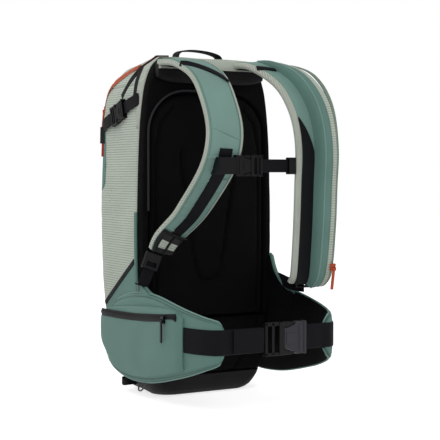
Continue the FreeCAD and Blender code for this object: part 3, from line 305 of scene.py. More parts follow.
def mixed(a: float, b: float, share: float) -> float:
    """Value part of the way from a to b."""
    return a + (b - a) * share


def looked_up(table: Sequence[tuple[float, float]], key: float) -> float:
    """Smooth value of a table at a key.

    Args:
        table: rising keys, each with its value.
        key: where to read it.

    Returns:
        The value, on a curve that passes through every row.
    """
    if key <= table[0][0]:
        return table[0][1]
    if key >= table[-1][0]:
        return table[-1][1]
    run = next(i for i in range(len(table) - 1) if key <= table[i + 1][0])

    def slope(i: int) -> float:
        """Slope of the curve at a row."""
        low, high = max(i - 1, 0), min(i + 1, len(table) - 1)
        return (table[high][1] - table[low][1]) / (table[high][0] - table[low][0])

    (x0, y0), (x1, y1) = table[run], table[run + 1]
    wide = x1 - x0
    t = (key - x0) / wide
    return ((2 * t ** 3 - 3 * t ** 2 + 1) * y0 + (t ** 3 - 2 * t ** 2 + t) * wide * slope(run)
            + (3 * t ** 2 - 2 * t ** 3) * y1 + (t ** 3 - t ** 2) * wide * slope(run + 1))


def eased(points: Sequence[Sequence[float]], steps: int = 8) -> list[Vector]:
    """Smooth path through points.

    Args:
        points: what it passes through.
        steps: pieces in each run.

    Returns:
        The path's points.
    """
    p = [Vector(q) for q in points]
    if len(p) == 2:
        return [p[0].lerp(p[1], i / steps) for i in range(steps + 1)]
    made = []
    for i in range(len(p) - 1):
        before, after = p[max(i - 1, 0)], p[min(i + 2, len(p) - 1)]
        for k in range(steps):
            t = k / steps
            made.append(0.5 * (2 * p[i] + (p[i + 1] - before) * t
                               + (2 * before - 5 * p[i] + 4 * p[i + 1] - after) * t ** 2
                               + (3 * p[i] - before - 3 * p[i + 1] + after) * t ** 3))
    return made + [p[-1]]


def tangents(path: Sequence[Vector]) -> list[Vector]:
    """Direction of a path at each of its points."""
    last = len(path) - 1
    return [(path[min(i + 1, last)] - path[max(i - 1, 0)]).normalized() for i in range(last + 1)]


def facing(across: Vector, ahead: Vector, out: Vector) -> Vector:
    """The across direction, or its reverse, that gives a strip running ahead its outer face towards out."""
    return across if ahead.cross(across).dot(out) > 0 else -across


def mesh_object(name: str, points: Sequence[Vector], faces: Sequence[Sequence[int]], finish: Finish,
                uvs: Sequence[tuple[float, float]] | None = None, closed: bool = True,
                inside: Vector | None = None) -> bpy.types.Object:
    """Object from points in millimetres.

    Args:
        name: the piece's name.
        points: its vertices.
        faces: vertex numbers of each face.
        finish: what it is made of.
        uvs: lengths in metres for each corner of each face, in order.
        closed: whether it is a closed form, whose normals are then worked out.
        inside: for an open sheet, a point that its faces look away from.

    Returns:
        The object, at the origin.
    """
    mesh = bpy.data.meshes.new(name)
    mesh.from_pydata([Vector(p) * MM for p in points], [], faces)
    if uvs:
        layer = mesh.uv_layers.new(name="UVMap")
        layer.data.foreach_set("uv", [c for uv in uvs for c in uv])
    work = bmesh.new()
    work.from_mesh(mesh)
    bmesh.ops.remove_doubles(work, verts=work.verts, dist=2e-6)
    if closed:
        bmesh.ops.recalc_face_normals(work, faces=work.faces)
    elif inside is not None:
        centre = inside * MM
        facing = sum(f.normal.dot(f.calc_center_median() - centre) * f.calc_area() for f in work.faces)
        if facing < 0:
            bmesh.ops.reverse_faces(work, faces=work.faces)
    work.to_mesh(mesh)
    work.free()
    mesh.shade_smooth()
    mesh.set_sharp_from_angle(angle=math.radians(42))
    mesh.materials.append(material(finish, bool(uvs)))
    made = bpy.data.objects.new(name, mesh)
    bpy.context.collection.objects.link(made)
    return made


def woven(name: str, rows: Sequence[Sequence[Vector]], finish: Finish, ring: bool = False,
          thickness: float = 0.0, inside: Vector | None = None, caps: bool = False) -> bpy.types.Object:
    """Sheet or closed loft through rows of points, with a UV map in metres.

    Args:
        name: the piece's name.
        rows: rows with the same number of points.
        finish: what it is made of.
        ring: whether each row closes on itself.
        thickness: wall given to an open sheet, inward.
        inside: point that an open sheet looks away from.
        caps: whether the first and last rings are filled.

    Returns:
        The object.
    """
    count = len(rows[0])
    points = [p for row in rows for p in row]
    middle = rows[len(rows) // 2]
    loop = list(middle) + ([middle[0]] if ring else [])
    across = [0.0]
    for a, b in zip(loop, loop[1:]):
        across.append(across[-1] + (b - a).length * MM)
    along = [0.0]
    centres = [sum(row, Vector()) / count for row in rows]
    for a, b in zip(centres, centres[1:]):
        along.append(along[-1] + (b - a).length * MM)
    faces, uvs = [], []
    for r in range(len(rows) - 1):
        for c in range(count if ring else count - 1):
            d = (c + 1) % count
            faces.append((r * count + c, r * count + d, (r + 1) * count + d, (r + 1) * count + c))
            uvs += [(across[c], along[r]), (across[c + 1], along[r]),
                    (across[c + 1], along[r + 1]), (across[c], along[r + 1])]
    if caps:
        for r in (0, len(rows) - 1):
            heart = len(points)
            points.append(centres[r])
            for c in range(count):
                faces.append((r * count + c, r * count + (c + 1) % count, heart))
                uvs += [(across[c], along[r]), (across[c + 1], along[r]), (across[c], along[r] + 0.003)]
    made = mesh_object(name, points, faces, finish, uvs, ring and caps, inside)
    if thickness:
        wall = made.modifiers.new("wall", "SOLIDIFY")
        wall.thickness = thickness * MM
        wall.offset = -1
    return made


def tube(name: str, path: Sequence[Vector], radius: float, finish: Finish, sides: int = 10) -> bpy.types.Object:
    """Round bar along a path, such as piping.

    Args:
        name: the piece's name.
        path: its centre line.
        radius: its radius.
        finish: what it is made of.
        sides: faces round it.

    Returns:
        The object.
    """
    rows = []
    guide = X if abs((path[1] - path[0]).normalized().dot(X)) < 0.8 else Z
    for point, ahead in zip(path, tangents(path)):
        guide = (guide - ahead * guide.dot(ahead)).normalized()
        third = ahead.cross(guide)
        rows.append([point + (guide * math.cos(a) + third * math.sin(a)) * radius
                     for a in (2 * math.pi * k / sides for k in range(sides))])
    return woven(name, rows, finish, ring=True, caps=True)


@dataclass
class Strip:
    """Padded or woven strip that follows a path.

    The path runs along the middle of the outer face, and outward points away from it.
    """

    path: list[Vector]
    across: list[Vector]
    widths: list[float]
    thickness: float
    power: float = 3.6
    crown: float = 0.0
    outward: list[Vector] = field(init=False)

    def __post_init__(self) -> None:
        """Squares the across directions to the path and works out outward."""
        ahead = tangents(self.path)
        self.across = [(w - t * w.dot(t)).normalized() for w, t in zip(self.across, ahead)]
        self.outward = [t.cross(w).normalized() for w, t in zip(self.across, ahead)]

    def on(self, index: int, share: float, side: int = 1, lift: float = 0.0) -> Vector:
        """Point of the surface.

        Args:
            index: which point of the path.
            share: place across, from -1 to 1.
            side: 1 on the outer face and -1 on the inner.
            lift: height above the surface.

        Returns:
            The point.
        """
        half = self.thickness / 2
        bulge = max(0.0, 1 - abs(share) ** self.power) ** (1 / self.power) * half
        bulge += self.crown * (1 - share ** 2) * (side > 0)
        n = self.outward[index]
        return (self.path[index] - n * half + self.across[index] * share * self.widths[index] / 2
                + n * (bulge + lift) * side)

    def between(self, place: float, share: float, lift: float = 0.0) -> Vector:
        """Point of the outer face at a place between two points of the path."""
        first = min(int(place), len(self.path) - 2)
        return self.on(first, share, 1, lift).lerp(self.on(first + 1, share, 1, lift), place - first)

    def body(self, name: str, finish: Finish, around: int = 20) -> bpy.types.Object:
        """The whole strip as a closed form.

        Args:
            name: the piece's name.
            finish: what it is made of.
            around: half the number of points in each section.

        Returns:
            The object.
        """
        rows = []
        for i in range(len(self.path)):
            shares = [-math.cos(math.pi * k / around) for k in range(around + 1)]
            outer = [self.on(i, a) for a in shares]
            inner = [self.on(i, a, -1) for a in shares[-2:0:-1]]
            rows.append(outer + inner)
        return woven(name, rows, finish, ring=True, caps=True)

    def cover(self, name: str, finish: Finish, low: float | Callable, high: float | Callable, side: int = 1,
              lift: float = 0.6,
              thickness: float = 1.0, start: int = 0, stop: int | None = None) -> bpy.types.Object:
        """Cloth laid on one face of the strip.

        Args:
            name: the piece's name.
            finish: what it is made of.
            low: its first edge across, from -1 to 1, or a function of the path's point that gives it.
            high: its other edge.
            side: 1 on the outer face and -1 on the inner.
            lift: how far its top stands above the face.
            thickness: of the cloth.
            start: first point of the path.
            stop: point of the path to stop before.

        Returns:
            The object.
        """
        columns = 12
        indices = range(len(self.path))[start:stop]
        rows = []
        for i in indices:
            a, b = (edge(self.path[i]) if callable(edge) else edge for edge in (low, high))
            rows.append([self.on(i, mixed(a, b, k / columns), side, lift) for k in range(columns + 1)])
        middle = indices[len(indices) // 2]
        inside = self.path[middle] - self.outward[middle] * side * 400
        return woven(name, rows, finish, thickness=thickness, inside=inside)

    def line(self, share: float, side: int = 1, lift: float = 0.5, start: int = 0,
             stop: int | None = None) -> tuple[list[Vector], list[Vector]]:
        """Path along the surface with its outward directions, for piping and stitches."""
        indices = range(len(self.path))[start:stop]
        return ([self.on(i, share, side, lift) for i in indices],
                [self.outward[i] * side for i in indices])


def webbing(name: str, points: Sequence[Sequence[float]], across: Vector, width: float, finish: Finish = WEB,
            thickness: float = 2.0, steps: int = 6) -> bpy.types.Object:
    """Flat woven strap along a path.

    Args:
        name: the piece's name.
        points: what the middle of its outer face passes through.
        across: direction of its width.
        width: its width.
        finish: what it is made of.
        thickness: its thickness.
        steps: pieces in each run.

    Returns:
        The object.
    """
    path = eased(points, steps)
    strip = Strip(path, [across] * len(path), [width] * len(path), thickness, power=8.0)
    return strip.body(name, finish, 12)


# ---------------------------------------------------------------- what repeats

@dataclass(frozen=True)
class Repeat:
    """Small block repeated along a path: its spacing and its own sizes along, across and up."""

    spacing: float
    along: float
    across: float
    up: float


STITCH = Repeat(3.6, 2.5, 0.55, 0.45)
COIL = Repeat(1.5, 0.85, 4.2, 1.1)


def repeat_tree() -> bpy.types.NodeTree:
    """Geometry Nodes that lay blocks along an edge path, made once."""
    if "laid_blocks" in bpy.data.node_groups:
        return bpy.data.node_groups["laid_blocks"]
    tree = bpy.data.node_groups.new("laid_blocks", "GeometryNodeTree")
    face = tree.interface
    face.new_socket("Geometry", in_out="INPUT", socket_type="NodeSocketGeometry")
    for label in ("Spacing", "Along", "Across", "Up"):
        face.new_socket(label, in_out="INPUT", socket_type="NodeSocketFloat")
    face.new_socket("Material", in_out="INPUT", socket_type="NodeSocketMaterial")
    face.new_socket("Geometry", in_out="OUTPUT", socket_type="NodeSocketGeometry")

    def add(kind: str, **settings) -> bpy.types.Node:
        """Adds a node with its settings."""
        made = tree.nodes.new(kind)
        for key, value in settings.items():
            setattr(made, key, value)
        return made

    ask, answer = add("NodeGroupInput"), add("NodeGroupOutput")
    curve = add("GeometryNodeMeshToCurve")
    spaced = add("GeometryNodeResampleCurve", mode="LENGTH")
    size = add("ShaderNodeCombineXYZ")
    block = add("GeometryNodeMeshCube")
    ahead = add("FunctionNodeAlignRotationToVector", axis="X")
    upright = add("FunctionNodeAlignRotationToVector", axis="Z", pivot_axis="X")
    lay = add("GeometryNodeInputNamedAttribute", data_type="FLOAT_VECTOR")
    lay.inputs["Name"].default_value = "lay"
    laid = add("GeometryNodeInstanceOnPoints")
    real = add("GeometryNodeRealizeInstances")
    paint = add("GeometryNodeSetMaterial")
    tangent = add("GeometryNodeInputTangent")
    for source, target in (
            (ask.outputs["Geometry"], curve.inputs["Mesh"]),
            (curve.outputs[0], spaced.inputs["Curve"]),
            (ask.outputs["Spacing"], spaced.inputs["Length"]),
            (ask.outputs["Along"], size.inputs[0]),
            (ask.outputs["Across"], size.inputs[1]),
            (ask.outputs["Up"], size.inputs[2]),
            (size.outputs[0], block.inputs["Size"]),
            (tangent.outputs[0], ahead.inputs["Vector"]),
            (ahead.outputs[0], upright.inputs["Rotation"]),
            (lay.outputs["Attribute"], upright.inputs["Vector"]),
            (spaced.outputs[0], laid.inputs["Points"]),
            (block.outputs["Mesh"], laid.inputs["Instance"]),
            (upright.outputs[0], laid.inputs["Rotation"]),
            (laid.outputs[0], real.inputs[0]),
            (real.outputs[0], paint.inputs["Geometry"]),
            (ask.outputs["Material"], paint.inputs["Material"]),
            (paint.outputs[0], answer.inputs[0])):
        tree.links.new(source, target)
    return tree


def raised(path: list[Vector], outward: list[Vector]) -> tuple[list[Vector], list[Vector]]:
    """A path lifted a little along its outward directions, and those directions, for zip teeth."""
    return [p + n * 0.4 for p, n in zip(path, outward)], outward


def laid_along(name: str, lines: Sequence[tuple[list[Vector], list[Vector]]], repeat: Repeat,
               finish: Finish) -> bpy.types.Object:
    """Blocks along paths, such as stitches or zip teeth, as one plain mesh.

    Args:
        name: the piece's name.
        lines: paths, each with its outward directions.
        repeat: size and spacing of the blocks.
        finish: what they are made of.

    Returns:
        The object.
    """
    mesh = bpy.data.meshes.new(name)
    points, edges, lays = [], [], []
    for path, outward in lines:
        first = len(points)
        points += [p * MM for p in path]
        lays += outward
        edges += [(first + i, first + i + 1) for i in range(len(path) - 1)]
    mesh.from_pydata(points, edges, [])
    mesh.attributes.new("lay", "FLOAT_VECTOR", "POINT").data.foreach_set("vector", [c for n in lays for c in n])
    made = bpy.data.objects.new(name, mesh)
    bpy.context.collection.objects.link(made)
    worker = made.modifiers.new("laid", "NODES")
    worker.node_group = repeat_tree()
    values = {"Spacing": repeat.spacing * MM, "Along": repeat.along * MM, "Across": repeat.across * MM,
              "Up": repeat.up * MM, "Material": material(finish, False)}
    for item in worker.node_group.interface.items_tree:
        if item.in_out == "INPUT" and item.name in values:
            worker[item.identifier] = values[item.name]
    bpy.context.view_layer.update()
    plain = bpy.data.meshes.new_from_object(made.evaluated_get(bpy.context.evaluated_depsgraph_get()))
    made.modifiers.clear()
    made.data = plain
    if not plain.materials:
        plain.materials.append(material(finish, False))
    return made


def seated(made: bpy.types.Object, slot: str, *nodes: str, body: str = "pack",
           fill: float | None = None, bend: tuple | None = None) -> bpy.types.Object:
    """Attaches a finished piece to its body, or bakes it in place, and hides the CAD nodes it stands for.

    Args:
        made: the piece.
        slot: name of a material slot; not used.
        nodes: CAD nodes that it stands for.
        body: what it moves with.
        fill: how full it is, for a padded piece; not used.
        bend: for a piece that is still sewn to the pack, two points along it; when given, the piece is baked in
            place instead of being attached to body, and the points are not used.

    Returns:
        The piece.
    """
    if bend:
        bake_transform(made)
    else:
        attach(made, body)
    if nodes:
        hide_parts(*nodes)
    log.info("%s: %d vertices, on %s", made.name, len(made.data.vertices) if made.type == "MESH" else 0, body)
    return made


def moulded(node: str, finish: Finish, slot: str, body: str, bevel: float = 0.7,
            name: str | None = None) -> bpy.types.Object:
    """Hard part with the CAD node's own shape and softened edges.

    Args:
        node: the CAD node.
        finish: what it is made of.
        slot: name of a material slot, passed on to seated, which does not use it.
        body: what it moves with.
        bevel: width of its edges.
        name: the piece's name, when it isn't the node's with _part added.

    Returns:
        The object.
    """
    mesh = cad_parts[node].data.copy()
    work = bmesh.new()
    work.from_mesh(mesh)
    bmesh.ops.remove_doubles(work, verts=work.verts, dist=1e-5)
    bmesh.ops.dissolve_limit(work, angle_limit=math.radians(2), verts=work.verts, edges=work.edges)
    work.to_mesh(mesh)
    work.free()
    mesh.materials.clear()
    mesh.materials.append(material(finish, False))
    mesh.shade_smooth()
    mesh.set_sharp_from_angle(angle=math.radians(35))
    made = bpy.data.objects.new(name or node + "_part", mesh)
    bpy.context.collection.objects.link(made)
    edge = made.modifiers.new("edges", "BEVEL")
    edge.width = bevel * MM
    edge.segments = 3
    edge.angle_limit = math.radians(35)
    edge.harden_normals = True
    return seated(made, slot, node, body=body)


# ---------------------------------------------------------------- the bag

@dataclass
class BagShell:
    """The bag's lofted cloth: its sizes are those of the CAD bag, its walls bulge and crease."""

    height: float = 546.0
    back_half: float = 124.0
    front_half: float = 108.0
    back_plane: float = -70.0
    reach: float = 92.0
    corner: float = 22.0
    base_top: float = 30.0
    crown_seam: float = 502.0
    front_seam: float = 60.0
    levels: tuple = ((0.0, .77, .74, .55), (.165, .93, .95, .88), (.4, 1.01, 1.03, 1.0),
                     (.733, .99, 1.0, 1.0), (.897, .92, .96, .91), (.97, .81, .81, .54), (1.0, .68, .61, .10))

    def size(self, z: float) -> tuple[float, float, float]:
        """Half back, half front and front reach at a height."""
        share = z / self.height
        scales = (self.back_half, self.front_half, self.reach)
        return tuple(looked_up([(row[0], row[k + 1]) for row in self.levels], share) * scale
                     for k, scale in enumerate(scales))

    def half_outline(self, z: float) -> list[Vector]:
        """Section of the right half at a height, from the back edge to the middle of the front."""
        back, front, reach = self.size(z)
        start, corner = Vector((back, self.back_plane)), Vector((front, reach))
        rear = (start - corner).normalized()
        ahead = Vector((-1.0, 0.0))
        opening = rear.angle(ahead) / 2
        radius = min(self.corner, 0.45 * front)
        gap = radius / math.tan(opening)
        a, b = corner + rear * gap, corner + ahead * gap
        centre = corner + (rear + ahead).normalized() * (radius / math.sin(opening))
        first = math.atan2(a.y - centre.y, a.x - centre.x)
        last = math.atan2(b.y - centre.y, b.x - centre.x)
        made = [start.lerp(a, k / 16) for k in range(16)]
        made += [centre + Vector((math.cos(t), math.sin(t))) * radius
                 for t in (mixed(first, last, k / 8) for k in range(9))]
        edge = Vector((min(self.front_seam, b.x - 1), reach))
        made += [b.lerp(edge, k / 4) for k in range(1, 5)]
        made += [edge.lerp(Vector((0, reach)), k / 8) for k in range(1, 9)]
        return made

    def half_at(self, y: float, z: float) -> float:
        """Half width of the bag at a place on its side."""
        outline = self.half_outline(z)
        for a, b in zip(outline, outline[1:]):
            if a.y <= y <= b.y and b.y > a.y:
                return mixed(a.x, b.x, (y - a.y) / (b.y - a.y))
        return outline[24].x

    def on_side(self, side: int, y: float, z: float, lift: float = 0.0) -> Vector:
        """Point on one side of the bag.

        Args:
            side: -1 or 1.
            y: place along the side.
            z: height.
            lift: how far outside the cloth.

        Returns:
            The point.
        """
        return Vector((side * self.half_at(y, z), y, z)) + self.side_normal(side, y, z) * lift

    def side_normal(self, side: int, y: float, z: float) -> Vector:
        """Outward direction of the bag's side at a place."""
        step = 4.0
        a = Vector((side * self.half_at(y - step, z), y - step, z))
        b = Vector((side * self.half_at(y + step, z), y + step, z))
        c = Vector((side * self.half_at(y, z + step), y, z + step))
        d = Vector((side * self.half_at(y, z - step), y, z - step))
        n = (b - a).cross(c - d).normalized()
        return n if n.x * side > 0 else -n

    def creased(self, point: Vector, normal: Vector) -> Vector:
        """A point of the cloth with its soft folds."""
        edge = min(1.0, (point.y - self.back_plane) / 20) * min(1.0, max(0.0, (point.z - self.base_top) / 25))
        wide = noise.noise(Vector((point.x, point.y, point.z * 0.45)) * 0.022)
        fine = noise.noise(Vector((point.x, point.y * 0.6, point.z)) * 0.06)
        return point + normal * (1.9 * wide + 0.7 * fine) * edge

    def grid(self) -> tuple[list[list[Vector]], int]:
        """The whole cloth as rows of points, and the row of the crown seam."""
        low = [mixed(self.base_top, self.crown_seam, k / 60) for k in range(61)]
        high = [mixed(self.crown_seam, self.height, math.sin(k / 16 * math.pi / 2)) for k in range(1, 17)]
        rows = []
        for z in low + high:
            half = self.half_outline(z)
            rows.append([Vector((-p.x, p.y, z)) for p in half] + [Vector((p.x, p.y, z)) for p in half[-2::-1]])
        pole = Vector((0, self.back_plane, self.height))
        rim = rows[-1]
        for k in range(1, 9):
            share = k / 8
            rows.append([p.lerp(pole, share) + Z * 1.2 * math.sin(math.pi * share) for p in rim])
        rows[-1] = [pole.copy() for _ in rim]
        flat = []
        for r, row in enumerate(rows):
            made = []
            for c, p in enumerate(row):
                ahead = row[min(c + 1, len(row) - 1)] - row[max(c - 1, 0)]
                up = rows[min(r + 1, len(rows) - 1)][c] - rows[max(r - 1, 0)][c]
                normal = up.cross(ahead)
                made.append(self.creased(p, normal.normalized()) if normal.length > 1e-6 else p)
            flat.append(made)
        return flat, 60

    def build(self) -> None:
        """Side, front and crown cloth, and the black base."""
        rows, seam = self.grid()
        count = len(rows[0])
        edge = 28
        inside = Vector((0, 0, 270))
        cuts = (("left_side_cloth", 0, edge + 1, 0, seam + 1, CREAM, "cream_ripstop", "left_side_panel"),
                ("right_side_cloth", count - edge - 1, count, 0, seam + 1, CREAM, "cream_ripstop",
                 "right_side_panel"),
                ("front_cloth", edge, count - edge, 0, seam + 1, SAGE, "sage_fabric", "front_panel"),
                ("crown_cloth", 0, count, seam, len(rows), CREAM, "cream_ripstop", "top_panel"))
        for name, c0, c1, r0, r1, finish, slot, node in cuts:
            part = [row[c0:c1] for row in rows[r0:r1]]
            seated(woven(name, part, finish, thickness=1.6, inside=inside), slot, node)
        for name, column, finish, slot, top in (
                ("left_front_piping", edge, SAGE, "sage_fabric", seam),
                ("right_front_piping", count - edge - 1, SAGE, "sage_fabric", seam)):
            path = [rows[r][column] + Y * 0.4 for r in range(0, top)]
            seated(tube(name, path, 1.5, finish), slot)
        for name, side, column in (("left_back_piping", -1, 0), ("right_back_piping", 1, count - 1)):
            path = [row[column] + Vector((side * 1.2, 0.8, 0)) for row in rows if 180 < row[column].z < 305]
            seated(tube(name, path, 2.8, SAGE), "sage_fabric")
        steps = ((64, 7), (67, 6), (70, 5), (73, 4), (76, 3), (77, 3), (78, 3))
        path = [rows[r][c] + Vector((-0.8, 0, 1.0)) for r, c in steps]
        seated(tube("top_pocket_zip", eased(path, 4), 1.9, TOP_ZIP), "black_fabric")
        self.facing()
        self.base()

    def facing(self) -> None:
        """Sage panel down each front corner of the bag."""
        for name, side in (("left_corner_facing", -1), ("right_corner_facing", 1)):
            rows = []
            for k in range(25):
                z = mixed(322, 452, k / 24)
                low = looked_up(((322, 84), (345, 66), (452, 66)), z)
                ys = [mixed(low, self.size(z)[2] - 1.0, j / 10) for j in range(11)]
                rows.append([self.on_side(side, y, z, 0.9) for y in ys])
            seated(woven(name, rows, SAGE, thickness=0.9, inside=Vector((0, 0, 380))), "sage_fabric")

    def base(self) -> None:
        """Black boat-shaped base with a rounded underside."""
        rings = []
        for z, inset, radius in ((0, 17, 34), (0.8, 12, 34), (3.4, 7, 32), (8, 3, 28), (15, 0.8, 22),
                                 (23, 0, 15), (self.base_top + 1.5, 0, 9)):
            half = self.half_outline(min(z, self.base_top))
            deep, wide = self.back_plane - 14.5, half[0].x * 0.985
            turn = [Vector((wide - radius + radius * math.sin(a), deep + radius - radius * math.cos(a)))
                    for a in (math.pi / 2 * k / 8 for k in range(9))]
            centre = Vector((0, 5))
            outline = [p + (centre - p).normalized() * inset for p in turn + half[8:]]
            rings.append([Vector((-p.x, p.y, z)) for p in outline]
                         + [Vector((p.x, p.y, z)) for p in outline[-2::-1]])
        seated(woven("base_tub", rings, BLACK, ring=True, caps=True), "black_fabric", "base_panel")


# ---------------------------------------------------------------- back panel

def field_distance(point: Vector, line: Sequence[Sequence[float]]) -> float:
    """Distance from a point to a flat polyline."""
    best = 1e9
    for a, b in zip(line, line[1:]):
        start, run = Vector(a), Vector(b) - Vector(a)
        t = max(0.0, min(1.0, (point - start).dot(run) / run.length_squared))
        best = min(best, (point - start - run * t).length)
    return best


@dataclass
class BackPad:
    """Moulded foam pad on the back: an outline, rounded edges and pressed channels."""

    name: str
    low: float
    high: float
    half: Callable[[float], float]
    edge: Callable[[float, float], float]
    back: float
    depth: float
    round_edge: float
    channels: list[list[tuple[float, float]]]
    columns: int = 90
    rows: int = 120

    def build(self) -> bpy.types.Object:
        """The pad as a closed form."""
        front, rear = [], []
        for r in range(self.rows + 1):
            z = mixed(self.low, self.high, r / self.rows)
            wide = self.half(z)
            ahead, behind = [], []
            for c in range(self.columns + 1):
                x = wide * math.sin(mixed(-1, 1, c / self.columns) * math.pi / 2)
                far = max(0.0, self.edge(x, z))
                t = min(1.0, far / self.round_edge)
                rise = math.sqrt(max(0.0, 1 - (1 - t) ** 2)) if r not in (0, self.rows) else 0.0
                if c in (0, self.columns):
                    rise = 0.0
                press = sum(4.2 * math.exp(-(field_distance(Vector((x, z)), line) / 3.0) ** 2)
                            for line in self.channels)
                soft = 0.8 * noise.noise(Vector((x, z, 3.0)) * 0.03)
                y = self.back + (press + 1.0 - self.depth - soft) * rise
                ahead.append(Vector((x, y, z)))
                behind.append(Vector((x, self.back, z)))
            front.append(ahead)
            rear.append(behind)
        rows = [f + b[-2:0:-1] for f, b in zip(front, rear)]
        return woven(self.name, rows, FOAM, ring=True, caps=True)


@dataclass
class BackPanel:
    """Black back of the bag: door pad, its surround, the lumbar pad and the yoke."""

    shell: BagShell
    plane: float = -70.0
    depth: float = 15.0
    door_half: float = 108.0
    door_low: float = 125.2
    door_high: float = 488.0
    door_corner: float = 65.0
    gap: float = 1.2
    lumbar_top: float = 124.0

    def door_edge(self, x: float, z: float) -> float:
        """Distance in from the door's edge."""
        side, up = abs(x) - (self.door_half - self.door_corner), z - (self.door_high - self.door_corner)
        if side > 0 and up > 0:
            return self.door_corner - math.hypot(side, up)
        return min(self.door_half - abs(x), self.door_high - z, z - self.door_low)

    def door_half_at(self, z: float) -> float:
        """Half width of the door at a height."""
        up = z - (self.door_high - self.door_corner)
        if up <= 0:
            return self.door_half
        return self.door_half - self.door_corner + math.sqrt(max(0.0, self.door_corner ** 2 - up ** 2))

    def build(self) -> None:
        """All pieces of the back."""
        right = [(0, 186), (10, 187.5), (18, 193), (24, 206), (28, 230), (37, 290), (50, 365), (52, 395)]
        channel = [(-x, z) for x, z in right[:0:-1]] + right
        rails = [[(s * 97, 140), (s * 97, 400), (s * 88, 440), (s * 66, 466)] for s in (-1, 1)]
        door = BackPad("door_foam", self.door_low, self.door_high, self.door_half_at, self.door_edge,
                       self.plane - 1.5, self.depth - 1.5, 9.0, [channel, *rails]).build()
        seated(door, "black_foam", "door_pad", body="back_door", fill=0.7)
        low = self.shell.base_top + 0.5

        def lumbar_half(z: float) -> float:
            """Half width of the lumbar pad at a height."""
            return self.shell.size(z)[0] - 1.0

        def lumbar_edge(x: float, z: float) -> float:
            """Distance in from the lumbar pad's edge."""
            return min(lumbar_half(z) - abs(x), self.lumbar_top - z, z - low)

        seams = [[(s * 104, 124), (s * 96, 106), (s * 70, 62), (s * 45, 31)] for s in (-1, 1)]
        lumbar = BackPad("lumbar_foam", low, self.lumbar_top, lumbar_half, lumbar_edge, self.plane, self.depth,
                         8.0, seams, rows=60).build()
        seated(lumbar, "black_foam", "lumbar_pad", fill=0.75)
        self.surround()
        self.yoke()

    def arch(self, grow: float, steps: int) -> list[Vector]:
        """(x, z) points of the arch over the door, from right to left."""
        r = self.door_corner + grow
        inner, top = self.door_half + grow - r, self.door_high + grow
        points = [Vector((inner + r * math.cos(a), top - r + r * math.sin(a)))
                  for a in (math.pi / 2 * k / steps for k in range(steps + 1))]
        flat = [Vector((mixed(inner, -inner, k / steps), top)) for k in range(1, steps)]
        return points + flat + [Vector((-p.x, p.y)) for p in points[::-1]]

    def surround(self) -> None:
        """Foam strips each side of the door, joined over its arch."""
        spring = self.door_high - self.door_corner
        lows = [mixed(self.lumbar_top + 1, spring, k / 30) for k in range(30)]
        inner = [Vector((self.door_half + self.gap, z)) for z in lows]
        outer = [Vector((self.shell.size(z)[0] - 1, z)) for z in lows]
        arch = self.arch(self.gap, 16)
        top = self.shell.height - 1
        reach = [Vector((self.shell.size(z)[0] - 1, z))
                 for z in (mixed(spring, top, k / 23) for k in range(24))]
        over = reach + [Vector((0, top))] + [Vector((-p.x, p.y)) for p in reach[::-1]]
        inner += arch + [Vector((-p.x, p.y)) for p in inner[::-1]]
        outer += over + [Vector((-p.x, p.y)) for p in outer[::-1]]
        rings = []
        for a, b in zip(inner, outer):
            span = (b - a).length
            lip = min(5.0, span * 0.45)
            ring = []
            for k in range(21):
                share = (1 - math.cos(math.pi * k / 20)) / 2
                far = min(share, 1 - share) * span
                t = min(1.0, far / lip)
                rise = math.sqrt(max(0.0, 1 - (1 - t) ** 2)) if 0 < k < 20 else 0.0
                p = a.lerp(b, share)
                soft = 0.7 * noise.noise(Vector((p.x, p.y, 9.0)) * 0.04)
                ring.append(Vector((p.x, self.plane - (self.depth - 1.0 + soft) * rise, p.y)))
            behind = [Vector((p.x, self.plane, p.y)) for p in (a.lerp(b, k / 6) for k in range(5, 0, -1))]
            rings.append(ring + behind)
        made = woven("back_surround", rings, FOAM, ring=True, caps=True)
        seated(made, "black_foam", "back_edges", "upper_back_panel", fill=0.6)
        flap = [Vector((p.x, self.plane - self.depth - 0.4, p.y)) for p in self.arch(self.gap + 3.5, 24)[24:]]
        flap += [Vector((-self.door_half - 4.7, self.plane - self.depth - 0.2, mixed(spring, 300, k / 10)))
                 for k in range(1, 11)]
        seated(tube("door_zip_flap", flap, 1.9, FLAP), "grey_webbing")

    def yoke(self) -> None:
        """Padded yoke over the top of the back, with a dotted edge."""
        top, low = self.shell.height - 1.5, self.shell.height - 42
        front = self.plane - self.depth
        reach, thick = 99, 10.5
        path = [Vector((x, front - thick - 0.5 * math.cos(x / 30), (top + low) / 2))
                for x in (mixed(-reach, reach, k / 40) for k in range(41))]
        heights = [(top - low) * (1 - 0.4 * (abs(p.x) / reach) ** 6) for p in path]
        strip = Strip(path, [Z] * len(path), heights, thick, 4.0)
        seated(strip.body("yoke_foam", BLACK), "black_fabric", "yoke", fill=0.7)
        seated(strip.cover("yoke_top_cloth", CREAM, 0.34, 0.985, lift=0.6), "cream_ripstop")
        seated(strip.cover("yoke_dotted_edge", DOTS, 0.10, 0.34, lift=1.0), "cream_mesh")


# ---------------------------------------------------------------- shoulder straps

